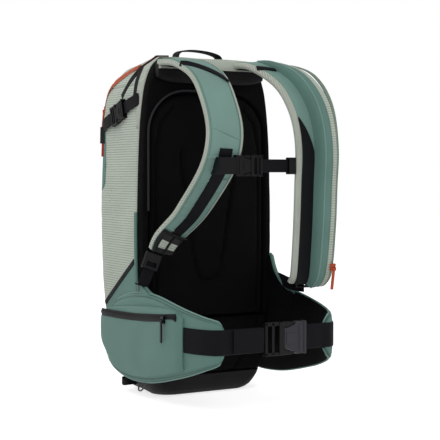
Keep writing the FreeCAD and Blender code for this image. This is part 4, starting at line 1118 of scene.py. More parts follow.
@dataclass
class ShoulderStraps:
    """Both shoulder straps, the trigger sleeve and what is sewn to them."""

    height: float = 546.0
    width: float = 64.0
    thickness: float = 12.0
    left_path: tuple = ((-92, 541), (-142, 535), (-196, 509), (-230, 456), (-239, 410), (-223, 366),
                        (-172, 310), (-126, 261), (-111, 235))
    right_path: tuple = ((-92, 541), (-140, 535), (-203, 505), (-238, 460), (-250, 400), (-247, 340),
                         (-244, 272), (-238, 204), (-229, 186))
    left_lean: tuple = ((164, -118), (246, -99), (295, -74), (410, -63), (491, -64), (535, -66), (601, -72))
    left_wide: tuple = ((230, 0.66), (262, 0.86), (310, 1.0), (491, 1.0), (535, 1.05), (601, 1.1))
    right_lean: tuple = ((186, 92), (410, 92), (491, 82), (535, 72), (601, 70))
    sleeve_reach: tuple = ((186, 12), (204, 24), (272, 29), (340, 30), (400, 30), (460, 28), (505, 20),
                           (530, 11), (538, 5), (542, 0.6))

    def strip(self, path: Sequence, lean: Sequence, wide: Sequence | None) -> Strip:
        """A strap's strip from its side and front views.

        Args:
            path: (y, z) points of its outer face.
            lean: its middle in x at rising heights.
            wide: its share of the full width at rising heights.

        Returns:
            The strip.
        """
        made = [Vector((looked_up(lean, p.y), p.x, p.y)) for p in eased(path, 10)]
        widths = [self.width * (looked_up(wide, p.z) if wide else 1.0) for p in made]
        return Strip(made, [X] * len(made), widths, self.thickness, 3.4, 0.8)

    def build(self) -> None:
        """Both straps with their mesh edges, covers and stitching."""
        left = self.strip(self.left_path, self.left_lean, self.left_wide)
        right = self.strip(self.right_path, self.right_lean, None)
        for side, strip in (("left", left), ("right", right)):
            seated(strip.body(f"{side}_strap_mesh", DOTS), "cream_mesh", f"{side}_shoulder_strap", fill=0.7)
            seated(strip.cover(f"{side}_strap_lining", FOAM, -0.84, 0.84, -1, 0.4, 0.8), "black_foam")
        # Painted light: the left strap's sage face is the sage nylon painted paler where light falls on it.
        seated(left.cover("left_strap_face", SAGE_PAINTED_LIGHT, -0.93, 0.80, 1, 0.9, 1.2), "sage_fabric")
        below = next(i for i, p in enumerate(right.path) if p.z < 452)
        taper = ((186, 0.2), (330, 0.2), (395, -0.08), (425, -0.36), (452, -0.72))
        face = right.cover("right_strap_face", BLACK, -0.75, lambda p: looked_up(taper, p.z), 1, 1.2, 1.2,
                           below)
        seated(face, "black_fabric")
        # Painted light: the top of the right strap is the sage nylon painted paler where light falls on it.
        seated(right.cover("right_strap_top", SAGE_PAINTED_LIGHT, -0.74, 0.35, 1, 0.7, 1.0), "sage_fabric")
        for word, seam, edge in (("outer", -0.84, -0.95), ("inner", 0.72, 0.83)):
            line = left.line(seam, 1, 1.0)
            seated(laid_along(f"left_strap_{word}_stitches", [line], STITCH, SAGE_THREAD), "sage_fabric")
            seated(tube(f"left_strap_{word}_binding", left.line(edge, 1, 0.6)[0], 0.9, CREAM), "cream_ripstop")
        self.locks(left)
        self.sleeve(right)
        self.details(left, right)

    def locks(self, left: Strip) -> None:
        """Moulded keeper at the left strap's foot, with its two windows."""
        seated(left.cover("left_keeper", ACETAL, -0.95, 0.95, 1, 4.8, 4.0, -12), "black_plastic")
        for word, low, high in (("a", -0.66, -0.10), ("b", 0.10, 0.66)):
            window = left.cover(f"left_keeper_window_{word}", CREAM, low, high, 1, 5.2, 0.8, -9, -4)
            seated(window, "cream_ripstop")
        bar = left.line(0.0, 1, 5.4, -12)[0]
        seated(tube("left_keeper_bar", bar, 1.6, ACETAL), "black_plastic")
        seated(tube("left_keeper_lip", [left.on(-12, mixed(-0.9, 0.9, k / 8), 1, 4.6) for k in range(9)], 1.8,
                    ACETAL), "black_plastic")
        tab = [(-125, -103, 172), (-127.5, -105, 163), (-129, -107, 152)]
        seated(webbing("left_wing_tab", tab, -Y, 15.0, WEB, 1.6), "black_webbing")

    def sleeve(self, strap: Strip) -> None:
        """Zipped sleeve that stows the trigger handle."""
        rows, fronts, outs = [], [], []
        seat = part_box("sleeve_zip_slider")
        zip_x = (seat[0].x + seat[1].x) / 2 / MM
        low, high = -0.06, 0.99
        for i, p in enumerate(strap.path):
            reach = looked_up(self.sleeve_reach, p.z)
            n = strap.outward[i]
            base_low, base_high = strap.on(i, low, 1, -1.0), strap.on(i, high, 1, -2.0)
            across = (base_high - base_low)
            section = []
            for k in range(25):
                a = math.pi * k / 24
                x = (1 - math.copysign(abs(math.cos(a)) ** 0.45, math.cos(a))) / 2
                h = abs(math.sin(a)) ** 0.45
                section.append(base_low + across * x + n * reach * h)
            under = [base_low.lerp(base_high, k / 6) for k in range(5, 0, -1)]
            rows.append(section + under)
            share = (zip_x - base_low.x) / across.x
            fronts.append(base_low + across * share + n * (reach * 0.985 + 0.7))
            outs.append(n)
        seated(woven("sleeve_cloth", rows, SAGE, ring=True, caps=True), "sage_fabric", "strap_sleeve", fill=0.5)
        face = [row[12:22] for row in rows[6:-2]]
        lifted = [[p + outs[i + 6] * 0.8 for p in row] for i, row in enumerate(face)]
        inside = strap.path[40] - strap.outward[40] * 400
        seated(woven("sleeve_face", lifted, CREAM, thickness=0.9, inside=inside), "cream_ripstop")
        edge = [row[7] + outs[i + 6] * 0.6 for i, row in enumerate(rows[6:-2])]
        # Painted light: the sleeve piping is the sage nylon painted paler where light falls on it.
        seated(tube("sleeve_piping", edge, 1.1, SAGE_PAINTED_LIGHT), "sage_fabric")
        path = [Vector((zip_x, q.y, q.z)) for q in fronts[6:-2]]
        tape = Strip(path, [X] * len(path), [8.0] * len(path), 1.0, 8.0)
        seated(tape.body("sleeve_zip_tape", SAGE, 8), "sage_fabric")
        seated(laid_along("sleeve_zip_coil", [(path, tape.outward)], COIL, PALE_COIL), "cream_ripstop")

    def details(self, left: Strip, right: Strip) -> None:
        """Bands, daisy webbing, seams and load lifters."""
        for word, strap, low, high, first, last in (("left", left, -0.96, 0.86, -160, -206),
                                                    ("right", right, -0.95, -0.1, -160, -170)):
            high_part = [j for j, p in enumerate(strap.path) if p.z > 450]
            near = [min(high_part, key=lambda j: abs(strap.path[j].y - y)) for y in (first, last)]
            points = []
            for k in range(9):
                points.append(strap.between(mixed(*near, k / 8), mixed(low, high, k / 8), 2.6))
            ahead = tangents(strap.path)[round(sum(near) / 2)]
            node = ("load_lifters",) if word == "left" else ()
            seated(webbing(f"{word}_load_lifter", points, -ahead, 13.0, WEB, 1.8, 3), "grey_webbing", *node)
        run = [i for i, p in enumerate(left.path) if 257 <= p.z <= 401]
        seated(left.cover("daisy_webbing", WEB, -0.34, 0.34, 1, 3.0, 2.2, run[0], run[-1] + 1), "black_webbing",
               "strap_webbing")
        for k, level in enumerate((421, 384, 366, 348, 330, 312, 288, 270)):
            i = min(range(len(left.path)), key=lambda j: abs(left.path[j].z - level))
            tilt = 2.5 if k == 0 else 0.6 * (-1) ** k
            fold = [left.between(i + tilt * a, a, 0.7 + 0.5 * math.cos(a * 5 + k)) for a in
                    (mixed(-0.86, 0.74, j / 14) for j in range(15))]
            # Painted light: the fold ridges are the sage nylon painted paler where light falls on them.
            seated(tube(f"left_strap_fold_{k}", fold, 1.5, SAGE_PAINTED_LIGHT, 8), "sage_fabric")


# ---------------------------------------------------------------- hip belt

@dataclass
class HipBelt:
    """Padded wings, pocket, webbing and buckle of the hip belt."""

    thickness: float = 11.0
    plan: tuple = ((-122, 56), (-129, 12), (-129.5, -90), (-129, -188), (-122, -243.5), (-112, -269.5),
                   (-101, -279.0), (-92, -279.5))
    top: tuple = ((-320, 126), (-280, 141), (-200, 158), (-127, 170), (-60, 168), (10, 150), (54, 128))
    bottom: tuple = ((-320, 94), (-280, 76), (-200, 50), (-90, 30), (0, 38), (54, 84))
    pocket_top: tuple = ((-222, 142), (-185, 154), (10, 141), (50, 124))
    pocket_bottom: tuple = ((-222, 64), (-185, 54), (-90, 38), (-6, 46), (50, 90))
    line: float = -281.0
    level: float = 110.0
    webbing_width: float = 38.0

    def wing(self, side: int) -> Strip:
        """Strip of one wing, from the bag's side to its front tip."""
        path = []
        widths = []
        for p in eased([(x, y, 0) for x, y in self.plan], 12):
            high, low = looked_up(self.top, p.y), looked_up(self.bottom, p.y)
            path.append(Vector((-side * p.x, p.y, (high + low) / 2)))
            widths.append(high - low)
        tip = len(path) - 25
        widths = [w * (1 - 0.4 * (max(0, i - tip) / 24) ** 3) for i, w in enumerate(widths)]
        up = [Z if side < 0 else -Z] * len(path)
        return Strip(path, up, widths, self.thickness, 4.0, 0.6)

    def build(self) -> None:
        """Wings, pocket, webbing and the buckle's extra parts."""
        for side, word in ((-1, "left"), (1, "right")):
            wing = self.wing(side)
            seated(wing.body(f"{word}_wing_foam", FOAM), "black_foam", f"{word}_belt_wing", fill=0.7)
            seated(wing.cover(f"{word}_wing_cover", SAGE, -0.985, 0.985, 1, 0.5, 1.0), "sage_fabric")
            for share, edge in ((-1.0, "edge_a"), (1.0, "edge_b")):
                # Painted light: the wing edges are the sage nylon painted paler where light falls on them.
                seated(tube(f"{word}_wing_{edge}", wing.line(share, 1, 0.4)[0], 1.7, SAGE_PAINTED_LIGHT), "sage_fabric")
            seams = [wing.line(s, 1, 0.9) for s in (-0.93, 0.93)]
            seated(laid_along(f"{word}_wing_stitches", seams, STITCH, SAGE_THREAD), "sage_fabric")
            self.root(side, word)
            self.straps(side, word, wing)
        self.pocket(self.wing(-1))

    def root(self, side: int, word: str) -> None:
        """Foam fillet between the bag's back and the top of a wing."""
        rise = 1.0 if side > 0 else 0.4
        crest = tuple((y, 163 + (z - 163) * rise) for y, z in
                      ((-156, 163), (-125, 172), (-103, 190), (-92, 206), (-85, 224)))
        for part, low, high, finish, slot in (("inner", 117.5, 122.5, FOAM, "black_foam"),
                                              ("outer", 122.5, 127.5, SAGE, "sage_fabric")):
            rings = []
            for k in range(19):
                y = mixed(-154, -82, k / 18)
                z = looked_up(crest, y)
                corners = ((low, 140), (low, z), (high, z), (high, 140))
                rings.append([Vector((side * a, y, b)) for a, b in corners])
            seated(woven(f"{word}_wing_root_{part}", rings, finish, ring=True, caps=True), slot)
        edge = [Vector((side * 122.5, y, looked_up(crest, y) + 0.6)) for y in (mixed(-156, -83, k / 24)
                                                                           for k in range(25))]
        seated(tube(f"{word}_wing_root_binding", edge, 2.6, SAGE), "sage_fabric")

    def pocket(self, wing: Strip) -> None:
        """Zipped pocket standing off the left wing."""
        rows, outs, mouth = [], [], []
        for i, p in enumerate(wing.path):
            if not -222 <= p.y <= 50:
                continue
            high, low = looked_up(self.pocket_top, p.y), looked_up(self.pocket_bottom, p.y)
            n = wing.outward[i]
            ends = min(1.0, max(0.0, (50 - p.y) / 16)) * min(1.0, max(0.0, (p.y + 222) / 14))
            reach = 2.0 + 7.4 * math.sqrt(max(0.0, ends * (2 - ends)))
            foot = Vector((p.x, p.y, 0)) - n * 1.0
            ring = []
            for k in range(29):
                a = math.pi * k / 28
                z = mixed(low, high, (1 - math.copysign(abs(math.cos(a)) ** 0.5, math.cos(a))) / 2)
                rise = abs(math.sin(a)) ** 0.42
                crease = 1.9 * noise.noise(Vector((p.y * 0.7, z, 5.0)) * 0.032)
                ring.append(foot + Z * z + n * (reach + crease * ends) * rise)
            under = [foot + Z * mixed(high, low, k / 6) for k in range(1, 6)]
            rows.append(ring + under)
            outs.append(n)
            mouth.append((p.y, foot, n, reach))
        pocket = woven("hip_pocket_cloth", rows, SAGE, ring=True, caps=True)
        seated(pocket, "sage_fabric", "hip_pocket", fill=0.6)
        line = []
        for y, foot, n, reach in mouth:
            if -212 <= y <= 36:
                z = looked_up(((-212, 143), (-170, 139), (-80, 133), (36, 131)), y)
                line.append((foot + Z * z + n * (reach + 0.6), n))
        path = [a for a, _ in line]
        tape = Strip(path, [Z] * len(path), [12.0] * len(path), 1.2, 8.0)
        seated(tape.body("hip_zip_tape", BLACK_TAPE, 10), "black_fabric")
        seated(laid_along("hip_zip_coil", [raised(path, [n for _, n in line])], COIL, BLACK_COIL),
               "black_plastic")

    def straps(self, side: int, word: str, wing: Strip) -> None:
        """Belt webbing over the tip of a wing, doubled where it folds back."""
        y, z = self.line, self.level
        near = -22.0 if side < 0 else 50.0
        over = [i for i, p in enumerate(wing.path) if p.y < -205][::5]
        points = [Vector((wing.path[i].x, wing.path[i].y, z)) + wing.outward[i] * 2.6 for i in over]
        points += [Vector((side * 84, y - 0.6, z)), Vector((mixed(side * 84, near, 0.5), y - 0.4, z)),
                   Vector((near, y, z))]
        ahead = (points[-1] - points[-2]).normalized()
        up = Z if ahead.cross(Z).y < 0 else -Z
        body, bend = ("pack", None) if side > 0 else ("belt_buckle_male", ((-90, y, z), (-26, y, z)))
        node = ("belt_webbing",) if side < 0 else ()
        seated(webbing(f"{word}_belt_web", points, up, self.webbing_width, WEB, 2.0, 3), "black_webbing", *node,
               body=body, bend=bend)
        out = side * 84
        fold = [(near + side * 3, y - 1.8, z), (mixed(near, out, 0.5), y - 2.6, z + 0.3),
                (mixed(near, out, 0.92), y - 2.4, z + 0.5)]
        seated(webbing(f"{word}_belt_web_tail", fold, up, self.webbing_width - 1, WEB, 1.6),
               "black_webbing", body=body, bend=bend)


# ---------------------------------------------------------------- small parts

def prisms(name: str, parts: Sequence[tuple], base: Vector, axes: tuple[Vector, Vector, Vector],
           finish: Finish, bevel: float = 0.8) -> bpy.types.Object:
    """Flat blocks with softened edges as one object.

    Args:
        name: the piece's name.
        parts: for each block its outline of (along, across) points, and its low and high faces.
        base: where the outlines' zero is.
        axes: directions along, across and up.
        finish: what it is made of.
        bevel: width of the edges.

    Returns:
        The object.
    """
    points, faces = [], []
    for outline, low, high in parts:
        first, count = len(points), len(outline)
        for level in (low, high):
            points += [base + axes[0] * a + axes[1] * b + axes[2] * level for a, b in outline]
        faces.append(tuple(range(first, first + count)))
        faces.append(tuple(range(first + 2 * count - 1, first + count - 1, -1)))
        faces += [(first + k, first + (k + 1) % count, first + count + (k + 1) % count, first + count + k)
                  for k in range(count)]
    made = mesh_object(name, points, faces, finish)
    edge = made.modifiers.new("edges", "BEVEL")
    edge.width, edge.segments, edge.angle_limit = bevel * MM, 3, math.radians(30)
    edge.harden_normals = True
    return made


def rectangle(low: float, high: float, bottom: float, top: float) -> list[tuple[float, float]]:
    """Outline of a rectangle from its two lengths along and its two across."""
    return [(low, bottom), (high, bottom), (high, top), (low, top)]


@dataclass
class SideRelease:
    """Side-release buckle: a housing, and a plug whose two arms show in the housing's sides."""

    name: str
    base: Vector
    along: Vector
    across: Vector
    out: Vector
    tall: float
    female: float
    male: float
    thick: float
    body: str
    housing: Finish = ACETAL
    nodes: tuple = ()

    def build(self) -> None:
        """Both halves."""
        t, f, m, h = self.tall / 2, self.female, self.male, self.thick / 2
        axes = (self.along, self.across, self.out)
        half = [(-0.56 * f, t), (-0.46 * f, 0.80 * t), (-0.10 * f, 0.62 * t), (0, 0.62 * t)]
        waist = [(-f, -t * 0.94), (-f, t * 0.94)] + half + [(a, -b) for a, b in half[::-1]]
        shell = [(waist, -h, h * 0.82), (rectangle(-f, -f + 4.5, -t, t), -h, h),
                 (rectangle(-0.80 * f, -0.66 * f, -t * 0.8, t * 0.8), 0, h),
                 (rectangle(-0.5 * f, -0.08 * f, -t * 0.34, t * 0.34), 0, h)]
        seated(prisms(f"{self.name}_housing", shell, self.base, axes, self.housing), "black_plastic",
               *self.nodes[:1])
        arm = [(0.3, 0.70 * t), (0.3, 0.98 * t), (-0.30 * f, t), (-0.50 * f, 0.95 * t), (-0.46 * f, 0.86 * t),
               (-0.14 * f, 0.69 * t)]
        plug = [(arm, -h * 0.6, h * 0.6), ([(a, -b) for a, b in arm], -h * 0.6, h * 0.6),
                (rectangle(0.3, 0.28 * m, -t, t), -h * 0.9, h * 0.9),
                (rectangle(0.3, m, t * 0.80, t), -h * 0.7, h * 0.7),
                (rectangle(0.3, m, -t, -t * 0.80), -h * 0.7, h * 0.7),
                (rectangle(0.52 * m, 0.66 * m, -t, t), -h * 0.2, h * 0.7),
                (rectangle(m - 4, m, -t, t), -h * 0.7, h * 0.7)]
        seated(prisms(f"{self.name}_plug", plug, self.base, axes, ACETAL), "black_plastic", *self.nodes[1:],
               body=self.body)


def buckles() -> None:
    """The belt, sternum and compression buckles."""
    SideRelease("belt_buckle", Vector((11, -281, 110)), -X, Z, -Y, 50, 40, 34, 12, "belt_buckle_male",
                GREY_ACETAL, ("belt_female", "belt_male")).build()
    SideRelease("sternum_buckle", Vector((-23, -241, 371)), X, Z, -Y, 32, 27, 22, 9, "sternum_buckle_male",
                nodes=("sternum_female", "sternum_male")).build()
    for side, word in ((-1, "left"), (1, "right")):
        along = Vector((-side * 0.05144, 0.95750, -0.28380))
        out = Vector((side * 0.99856, 0.05365, 0))
        up = Vector((-side * 0.01522, 0.28339, 0.95888))
        SideRelease(f"{word}_compression_buckle", Vector((side * 118.164, 8, 457.548)), along, up, out, 32, 27,
                    22, 9, f"{word}_compression_buckle_male",
                    nodes=("compression_females", f"{word}_compression_male")).build()


@dataclass
class Hardware:
    """Buckles, clips, sliders and pulls, moulded to the CAD shapes."""

    body_of: tuple = (
        ("sternum_clips", "pack", ACETAL, "black_plastic"),
        ("ladder_locks", "pack", ACETAL, "black_plastic"),
        ("front_zip_slider", "front_slider", PULL, "orange_pull"),
        ("front_zip_pull", "front_pull", PULL, "orange_pull"),
        ("hip_zip_slider", "hip_slider", ACETAL, "black_plastic"),
        ("hip_zip_pull", "hip_pull", ACETAL, "black_plastic"),
        ("sleeve_zip_slider", "sleeve_slider", PULL, "orange_pull"),
        ("sleeve_zip_pull", "sleeve_pull", PULL, "orange_pull"),
        ("trigger_handle", "trigger_grip", PULL, "orange_pull"))

    def build(self) -> None:
        """Every hard part outside the bag."""
        for node, body, finish, slot in self.body_of:
            small = node.endswith(("slider", "pull"))
            moulded(node, finish, slot, body, 0.35 if small else 0.8)


@dataclass
class Outside:
    """Side pockets, compression straps, front zip, loops and cord."""

    shell: BagShell

    def build(self) -> None:
        """Everything sewn to the outside of the bag."""
        for side, word in ((-1, "left"), (1, "right")):
            self.side_pocket(side, word)
            self.compression(side, word)
            self.tapes(side, word)
        self.front_zip()
        self.lower_webbing()
        self.loops()

    def side_pocket(self, side: int, word: str) -> None:
        """Stretch pocket with an elastic hem along its slanted mouth."""
        rows, hem, outs = [], [], []
        for c in range(41):
            y = mixed(-67, 65, c / 40)
            top = mixed(218, 139, c / 40)
            column = []
            for r in range(31):
                z = mixed(44, top, r / 30)
                puff = 2.2 + 1.6 * math.sin(math.pi * r / 30) * math.sin(math.pi * c / 40)
                column.append(self.shell.on_side(side, y, z, puff))
            rows.append(column)
            hem.append(self.shell.on_side(side, y, top + 3.0, 3.2))
            outs.append(self.shell.side_normal(side, y, top))
        node = ("side_pockets",) if side < 0 else ()
        seated(woven(f"{word}_pocket_cloth", rows, SAGE, thickness=1.4, inside=Vector((0, 0, 120))),
               "sage_fabric", *node)
        tangent = tangents(hem)
        across = [n.cross(t).normalized() for n, t in zip(outs, tangent)]
        strip = Strip(hem, across, [9.0] * len(hem), 3.0, 3.0)
        node = ("pocket_hems",) if side < 0 else ()
        seated(strip.body(f"{word}_pocket_hem", WEB, 8), "black_webbing", *node)

    def compression(self, side: int, word: str) -> None:
        """Webbing each side of the compression buckle, sewn down at its ends."""
        rear_z, front_z, off = 478.3, 436.8, 7.3
        rear = Vector((side * (self.linear_half(-62, rear_z) + off), -62, rear_z))
        front = Vector((side * (self.linear_half(78, front_z) + off), 78, front_z))
        run = (front - rear).normalized()
        half = (front - rear).length / 2
        middle = (front + rear) / 2
        out = Vector((side, 0, 0))
        across = out.cross(run).normalized()
        for part, start, end in (("rear", -half, -26.0), ("front", half, 20.0)):
            sewn = self.shell.on_side(side, (middle + run * start).y, (middle + run * start).z, 2.2)
            bend = middle + run * mixed(start, end, 0.28) - out * 2.0
            points = [sewn, bend, middle + run * mixed(start, end, 0.6), middle + run * end]
            width = facing(across, points[-1] - points[0], out)
            node = ("compression_webbing",) if (side < 0 and part == "rear") else ()
            made = webbing(f"{word}_compression_{part}", points, width, 20.0)
            if part == "front":
                seated(made, "black_webbing", *node, body=f"{word}_compression_buckle_male",
                       bend=(points[1], points[3]))
            else:
                seated(made, "black_webbing", *node)

    def linear_half(self, y: float, z: float) -> float:
        """Half width of the bag's flat side at a place."""
        back, front, reach = self.shell.size(z)
        share = (y - self.shell.back_plane) / (reach - self.shell.back_plane)
        return mixed(back, front, share)

    def tapes(self, side: int, word: str) -> None:
        """Two flat tapes that spread the pull of the load lifter."""
        for k, (y, z) in enumerate(((8, 485), (-44, 479))):
            ends = ((-36, 530), (mixed(-36, y, 0.5), mixed(530, z, 0.5) + 3), (y, z))
            path = [self.shell.on_side(side, a, b, 1.6) for a, b in ends]
            out = self.shell.side_normal(side, -20, 505)
            across = facing(out.cross(path[-1] - path[0]).normalized(), path[-1] - path[0], out)
            seated(webbing(f"{word}_spreader_{k}", path, across, 12.0, GREY_WEB, 1.4), "grey_webbing")
        rows = []
        for r in range(17):
            z = mixed(432, 524, r / 16)
            far = looked_up(((432, -60), (470, -50), (524, -46)), z)
            rows.append([self.shell.on_side(side, mixed(-69, far, c / 6), z, 0.8) for c in range(7)])
        gusset = woven(f"{word}_mesh_gusset", rows, DOTS, thickness=0.8, inside=Vector((0, 0, 470)))
        seated(gusset, "cream_mesh")

    def front_zip(self) -> None:
        """Orange zip over the front corner and up to the crown, on both sides."""
        places = ((80.5, 458), (80, 474), (76, 488), (66, 501), (47, 512), (27, 520), (4, 527), (-20, 533))
        for side, word in ((-1, "left"), (1, "right")):
            path, outs = [], []
            for p in eased([(y, z, 0) for y, z in places], 8):
                y = min(p.x, self.shell.size(p.y)[2] - 3.0)
                path.append(self.shell.on_side(side, y, p.y, 1.5))
                outs.append(self.shell.side_normal(side, y, p.y))
            across = [n.cross(t).normalized() for n, t in zip(outs, tangents(path))]
            if tangents(path)[10].cross(across[10]).dot(outs[10]) < 0:
                across = [-w for w in across]
            tape = Strip(path, across, [12.0] * len(path), 1.0, 8.0)
            node = ("front_zip_tape",) if side < 0 else ()
            seated(tape.body(f"{word}_front_zip_tape", ZIP_TAPE, 8), "orange_zip", *node)
            seated(laid_along(f"{word}_front_zip_coil", [raised(path, outs)], COIL, ZIP_COIL), "orange_zip")
        out = self.shell.side_normal(-1, 72, 420)
        for name, finish, slot, width, lift, levels in (
                ("left_compression_tail", WEB, "black_webbing", 17, 3.2, (438, 424, 410)),
                ("left_red_tag", RED_TAG, "orange_pull", 9, 2.2, (412, 400, 388))):
            path = [self.shell.on_side(-1, 77, z, lift) for z in levels]
            seated(webbing(name, path, facing(Y, path[1] - path[0], out), width, finish, 1.6), slot)

    def lower_webbing(self) -> None:
        """Adjusting webbing from each strap's foot to the bag."""
        node = ("lower_webbing",)
        for word, foot, anchor in (("left", (-113, -105, 234), (-129, -98, 184)),
                                   ("right", (92, -223, 182), (129, -98, 184))):
            sag = Vector(foot).lerp(Vector(anchor), 0.5) - Z * 3
            run = Vector(anchor) - Vector(foot)
            across = X if word == "left" else Z
            points = [foot, tuple(sag), anchor, (anchor[0] * 0.985, -84, 182)]
            width = across - run * across.dot(run) / run.length_squared
            seated(webbing(f"{word}_lower_web", points, width.normalized(), 20.0), "black_webbing", *node)
            node = ()

    def loops(self) -> None:
        """Haul loop, base loop and the grey tie cord."""
        top = self.shell.height
        path = [(-47, -56, top + 0.6), (-45, -56, top + 8), (-36, -56, top + 13), (-14, -56, top + 15),
                (14, -56, top + 13), (33, -56, top + 8), (39, -56, top + 0.6)]
        seated(webbing("haul_webbing", path, Y, 20.0, WEB, 2.4), "black_webbing", "haul_loop")
        low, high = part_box("base_loop")
        low, high = low / MM, high / MM
        mid_y, mid_z = (low.y + high.y) / 2, (low.z + high.z) / 2
        ring = [(high.x + 1, low.y + 2, mid_z), (low.x + 6, low.y + 1.5, mid_z), (low.x + 2, mid_y, mid_z - 2),
                (low.x + 6, high.y - 1.5, mid_z), (high.x + 1, high.y - 2, mid_z)]
        seated(webbing("base_webbing_loop", ring, Z, 11.0, WEB, 2.0), "black_webbing", "base_loop")
        side = 99.8
        route = [(-side, -38, 25), (-side - 9, -38, 8), (-side - 9, -58, 8), (-side, -58, 25)]
        curve = bpy.data.curves.new("tie_cord_line", "CURVE")
        curve.dimensions = "3D"
        spline = curve.splines.new("NURBS")
        spline.points.add(len(route) - 1)
        for point, place in zip(spline.points, route):
            point.co = (*(Vector(place) * MM), 1.0)
        spline.order_u = 3
        spline.use_endpoint_u = True
        spline.resolution_u = 12
        curve.bevel_depth = 1.3 * MM
        curve.bevel_resolution = 4
        curve.use_fill_caps = True
        curve.materials.append(material(CORD, False))
        made = bpy.data.objects.new("tie_cord_line", curve)
        bpy.context.collection.objects.link(made)
        seated(made, "grey_cord", "tie_cord")
        plain = bpy.data.meshes.new_from_object(measured(made))


def measured(cord: bpy.types.Object) -> bpy.types.Object:
    """Copy of a cord's curve with no thickness."""
    bare = cord.copy()
    bare.data = cord.data.copy()
    bare.data.bevel_depth = 0
    bare.parent = None
    return bare


@dataclass
class Internals:
    """Finishes of the CAD nodes that stay: the airbag system and the frame."""

    finishes: tuple = (
        ("frame_sheet", FRAME_SHEET), ("frame_stays", ALUMINIUM), ("inflator_housing", ACETAL),
        ("inflator_cover", ACETAL), ("motor", STEEL), ("impeller", GREY_ACETAL), ("supercapacitors", CELL),
        ("control_board", BOARD), ("outlet_duct", ACETAL), ("valve_flap", GREY_ACETAL), ("airbag_pouch", BLACK),
        ("airbag", AIRBAG), ("trigger_lever", PULL), ("trigger_cable", ACETAL), ("power_knob", PULL))

    def build(self) -> None:
        """Gives each kept node its material."""
        for node, finish in self.finishes:
            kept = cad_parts[node]
            kept.data.materials.clear()
            kept.data.materials.append(material(finish, False))
            log.info("%s keeps its shape in %s", node, finish.name)


# ---------------------------------------------------------------- studio

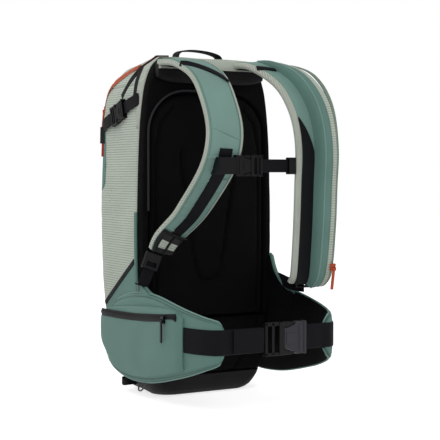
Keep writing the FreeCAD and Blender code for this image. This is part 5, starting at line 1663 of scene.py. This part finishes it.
@dataclass
class Studio:
    """Pale floor, soft lamps and the camera."""

    target: tuple = (0.0536, -0.0334, 0.281)
    azimuth: float = -32.0
    elevation: float = 2.0
    distance: float = 2.2
    lens: float = 106.7
    key: float = 19.0
    fill: float = 8.5
    sky: float = 0.40

    def build(self) -> None:
        """Floor, lights, world and camera."""
        scene = bpy.context.scene
        scene.view_settings.view_transform = "Standard"
        self.floor()
        self.world(scene)
        for name, place, size, power in (("key", (-1.4, -1.6, 2.2), 1.6, self.key),
                                         ("fill", (1.8, -1.5, 1.2), 2.0, self.fill),
                                         ("back", (-0.8, 1.8, 1.8), 1.6, self.key * 0.8)):
            light = bpy.data.lights.new(name, "AREA")
            light.energy = power
            light.size = size
            lamp = bpy.data.objects.new(name, light)
            lamp.location = place
            lamp.rotation_euler = (Vector((0, 0, 0.3)) - Vector(place)).to_track_quat("-Z", "Y").to_euler()
            scene.collection.objects.link(lamp)
        a, e = math.radians(self.azimuth), math.radians(self.elevation)
        back = Vector((math.sin(a) * math.cos(e), -math.cos(a) * math.cos(e), math.sin(e)))
        data = bpy.data.cameras.new("camera")
        data.lens, data.sensor_width = self.lens, 36.0
        camera = bpy.data.objects.new("camera", data)
        camera.location = Vector(self.target) + back * self.distance
        camera.rotation_euler = (-back).to_track_quat("-Z", "Y").to_euler()
        scene.collection.objects.link(camera)
        scene.camera = camera

    def floor(self) -> None:
        """Large pale floor that keeps the shadow."""
        mesh = bpy.data.meshes.new("floor")
        half = 6.0
        corners = ((-half, -half), (half, -half), (half, half), (-half, half))
        mesh.from_pydata([(*corner, -0.001) for corner in corners], [], [(0, 1, 2, 3)])
        graph = Graph("pale_floor")
        path = graph.add("ShaderNodeLightPath")
        plain = graph.add("ShaderNodeBsdfDiffuse", {"Color": (0.86, 0.86, 0.86, 1.0)})
        glow = graph.add("ShaderNodeEmission", {"Color": (1, 1, 1, 1), "Strength": 0.74})
        both = graph.add("ShaderNodeAddShader", {0: plain.outputs[0], 1: glow.outputs[0]})
        seen = graph.maths("MAXIMUM", path.outputs["Is Camera Ray"], path.outputs["Is Glossy Ray"])
        mix = graph.add("ShaderNodeMixShader", {0: seen, 1: plain.outputs[0], 2: both.outputs[0]})
        graph.add("ShaderNodeOutputMaterial", {0: mix.outputs[0]})
        mesh.materials.append(graph.material)
        floor = bpy.data.objects.new("floor", mesh)
        bpy.context.scene.collection.objects.link(floor)

    def world(self, scene: bpy.types.Scene) -> None:
        """Even sky that looks white to the camera."""
        world = bpy.data.worlds.new("studio")
        world.use_nodes = True
        scene.world = world
        tree = world.node_tree
        tree.nodes.clear()
        path = tree.nodes.new("ShaderNodeLightPath")
        soft = tree.nodes.new("ShaderNodeBackground")
        soft.inputs["Strength"].default_value = self.sky
        white = tree.nodes.new("ShaderNodeBackground")
        white.inputs["Strength"].default_value = 1.0
        white.inputs["Color"].default_value = (1, 1, 1, 1)
        soft.inputs["Color"].default_value = (1, 1, 1, 1)
        mix = tree.nodes.new("ShaderNodeMixShader")
        out = tree.nodes.new("ShaderNodeOutputWorld")
        tree.links.new(path.outputs["Is Camera Ray"], mix.inputs[0])
        tree.links.new(soft.outputs[0], mix.inputs[1])
        tree.links.new(white.outputs[0], mix.inputs[2])
        tree.links.new(mix.outputs[0], out.inputs[0])


def sternum_webbing() -> None:
    """Webbing from the sternum buckle's plug to the clip on the right strap."""
    low, high = (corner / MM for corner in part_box("sternum_webbing"))
    middle = (low + high) / 2
    points = [(low.x, middle.y - 1, middle.z), (middle.x, middle.y - 1.4, middle.z),
              (high.x, middle.y - 1, middle.z)]
    bend = ((high.x - 3, middle.y, middle.z), (low.x + 3, middle.y, middle.z))
    seated(webbing("sternum_web", points, Z, 20.0), "black_webbing", "sternum_webbing",
           body="sternum_buckle_male", bend=bend)


def main() -> None:
    """Builds the pack in order."""
    logging.basicConfig(level=logging.INFO, format="%(message)s")
    Studio().build()
    shell = BagShell()
    Outside(shell).build()
    shell.build()
    BackPanel(shell).build()
    ShoulderStraps().build()
    HipBelt().build()
    sternum_webbing()
    buckles()
    Hardware().build()
    Internals().build()
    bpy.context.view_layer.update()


if __name__ == "__main__":
    main()
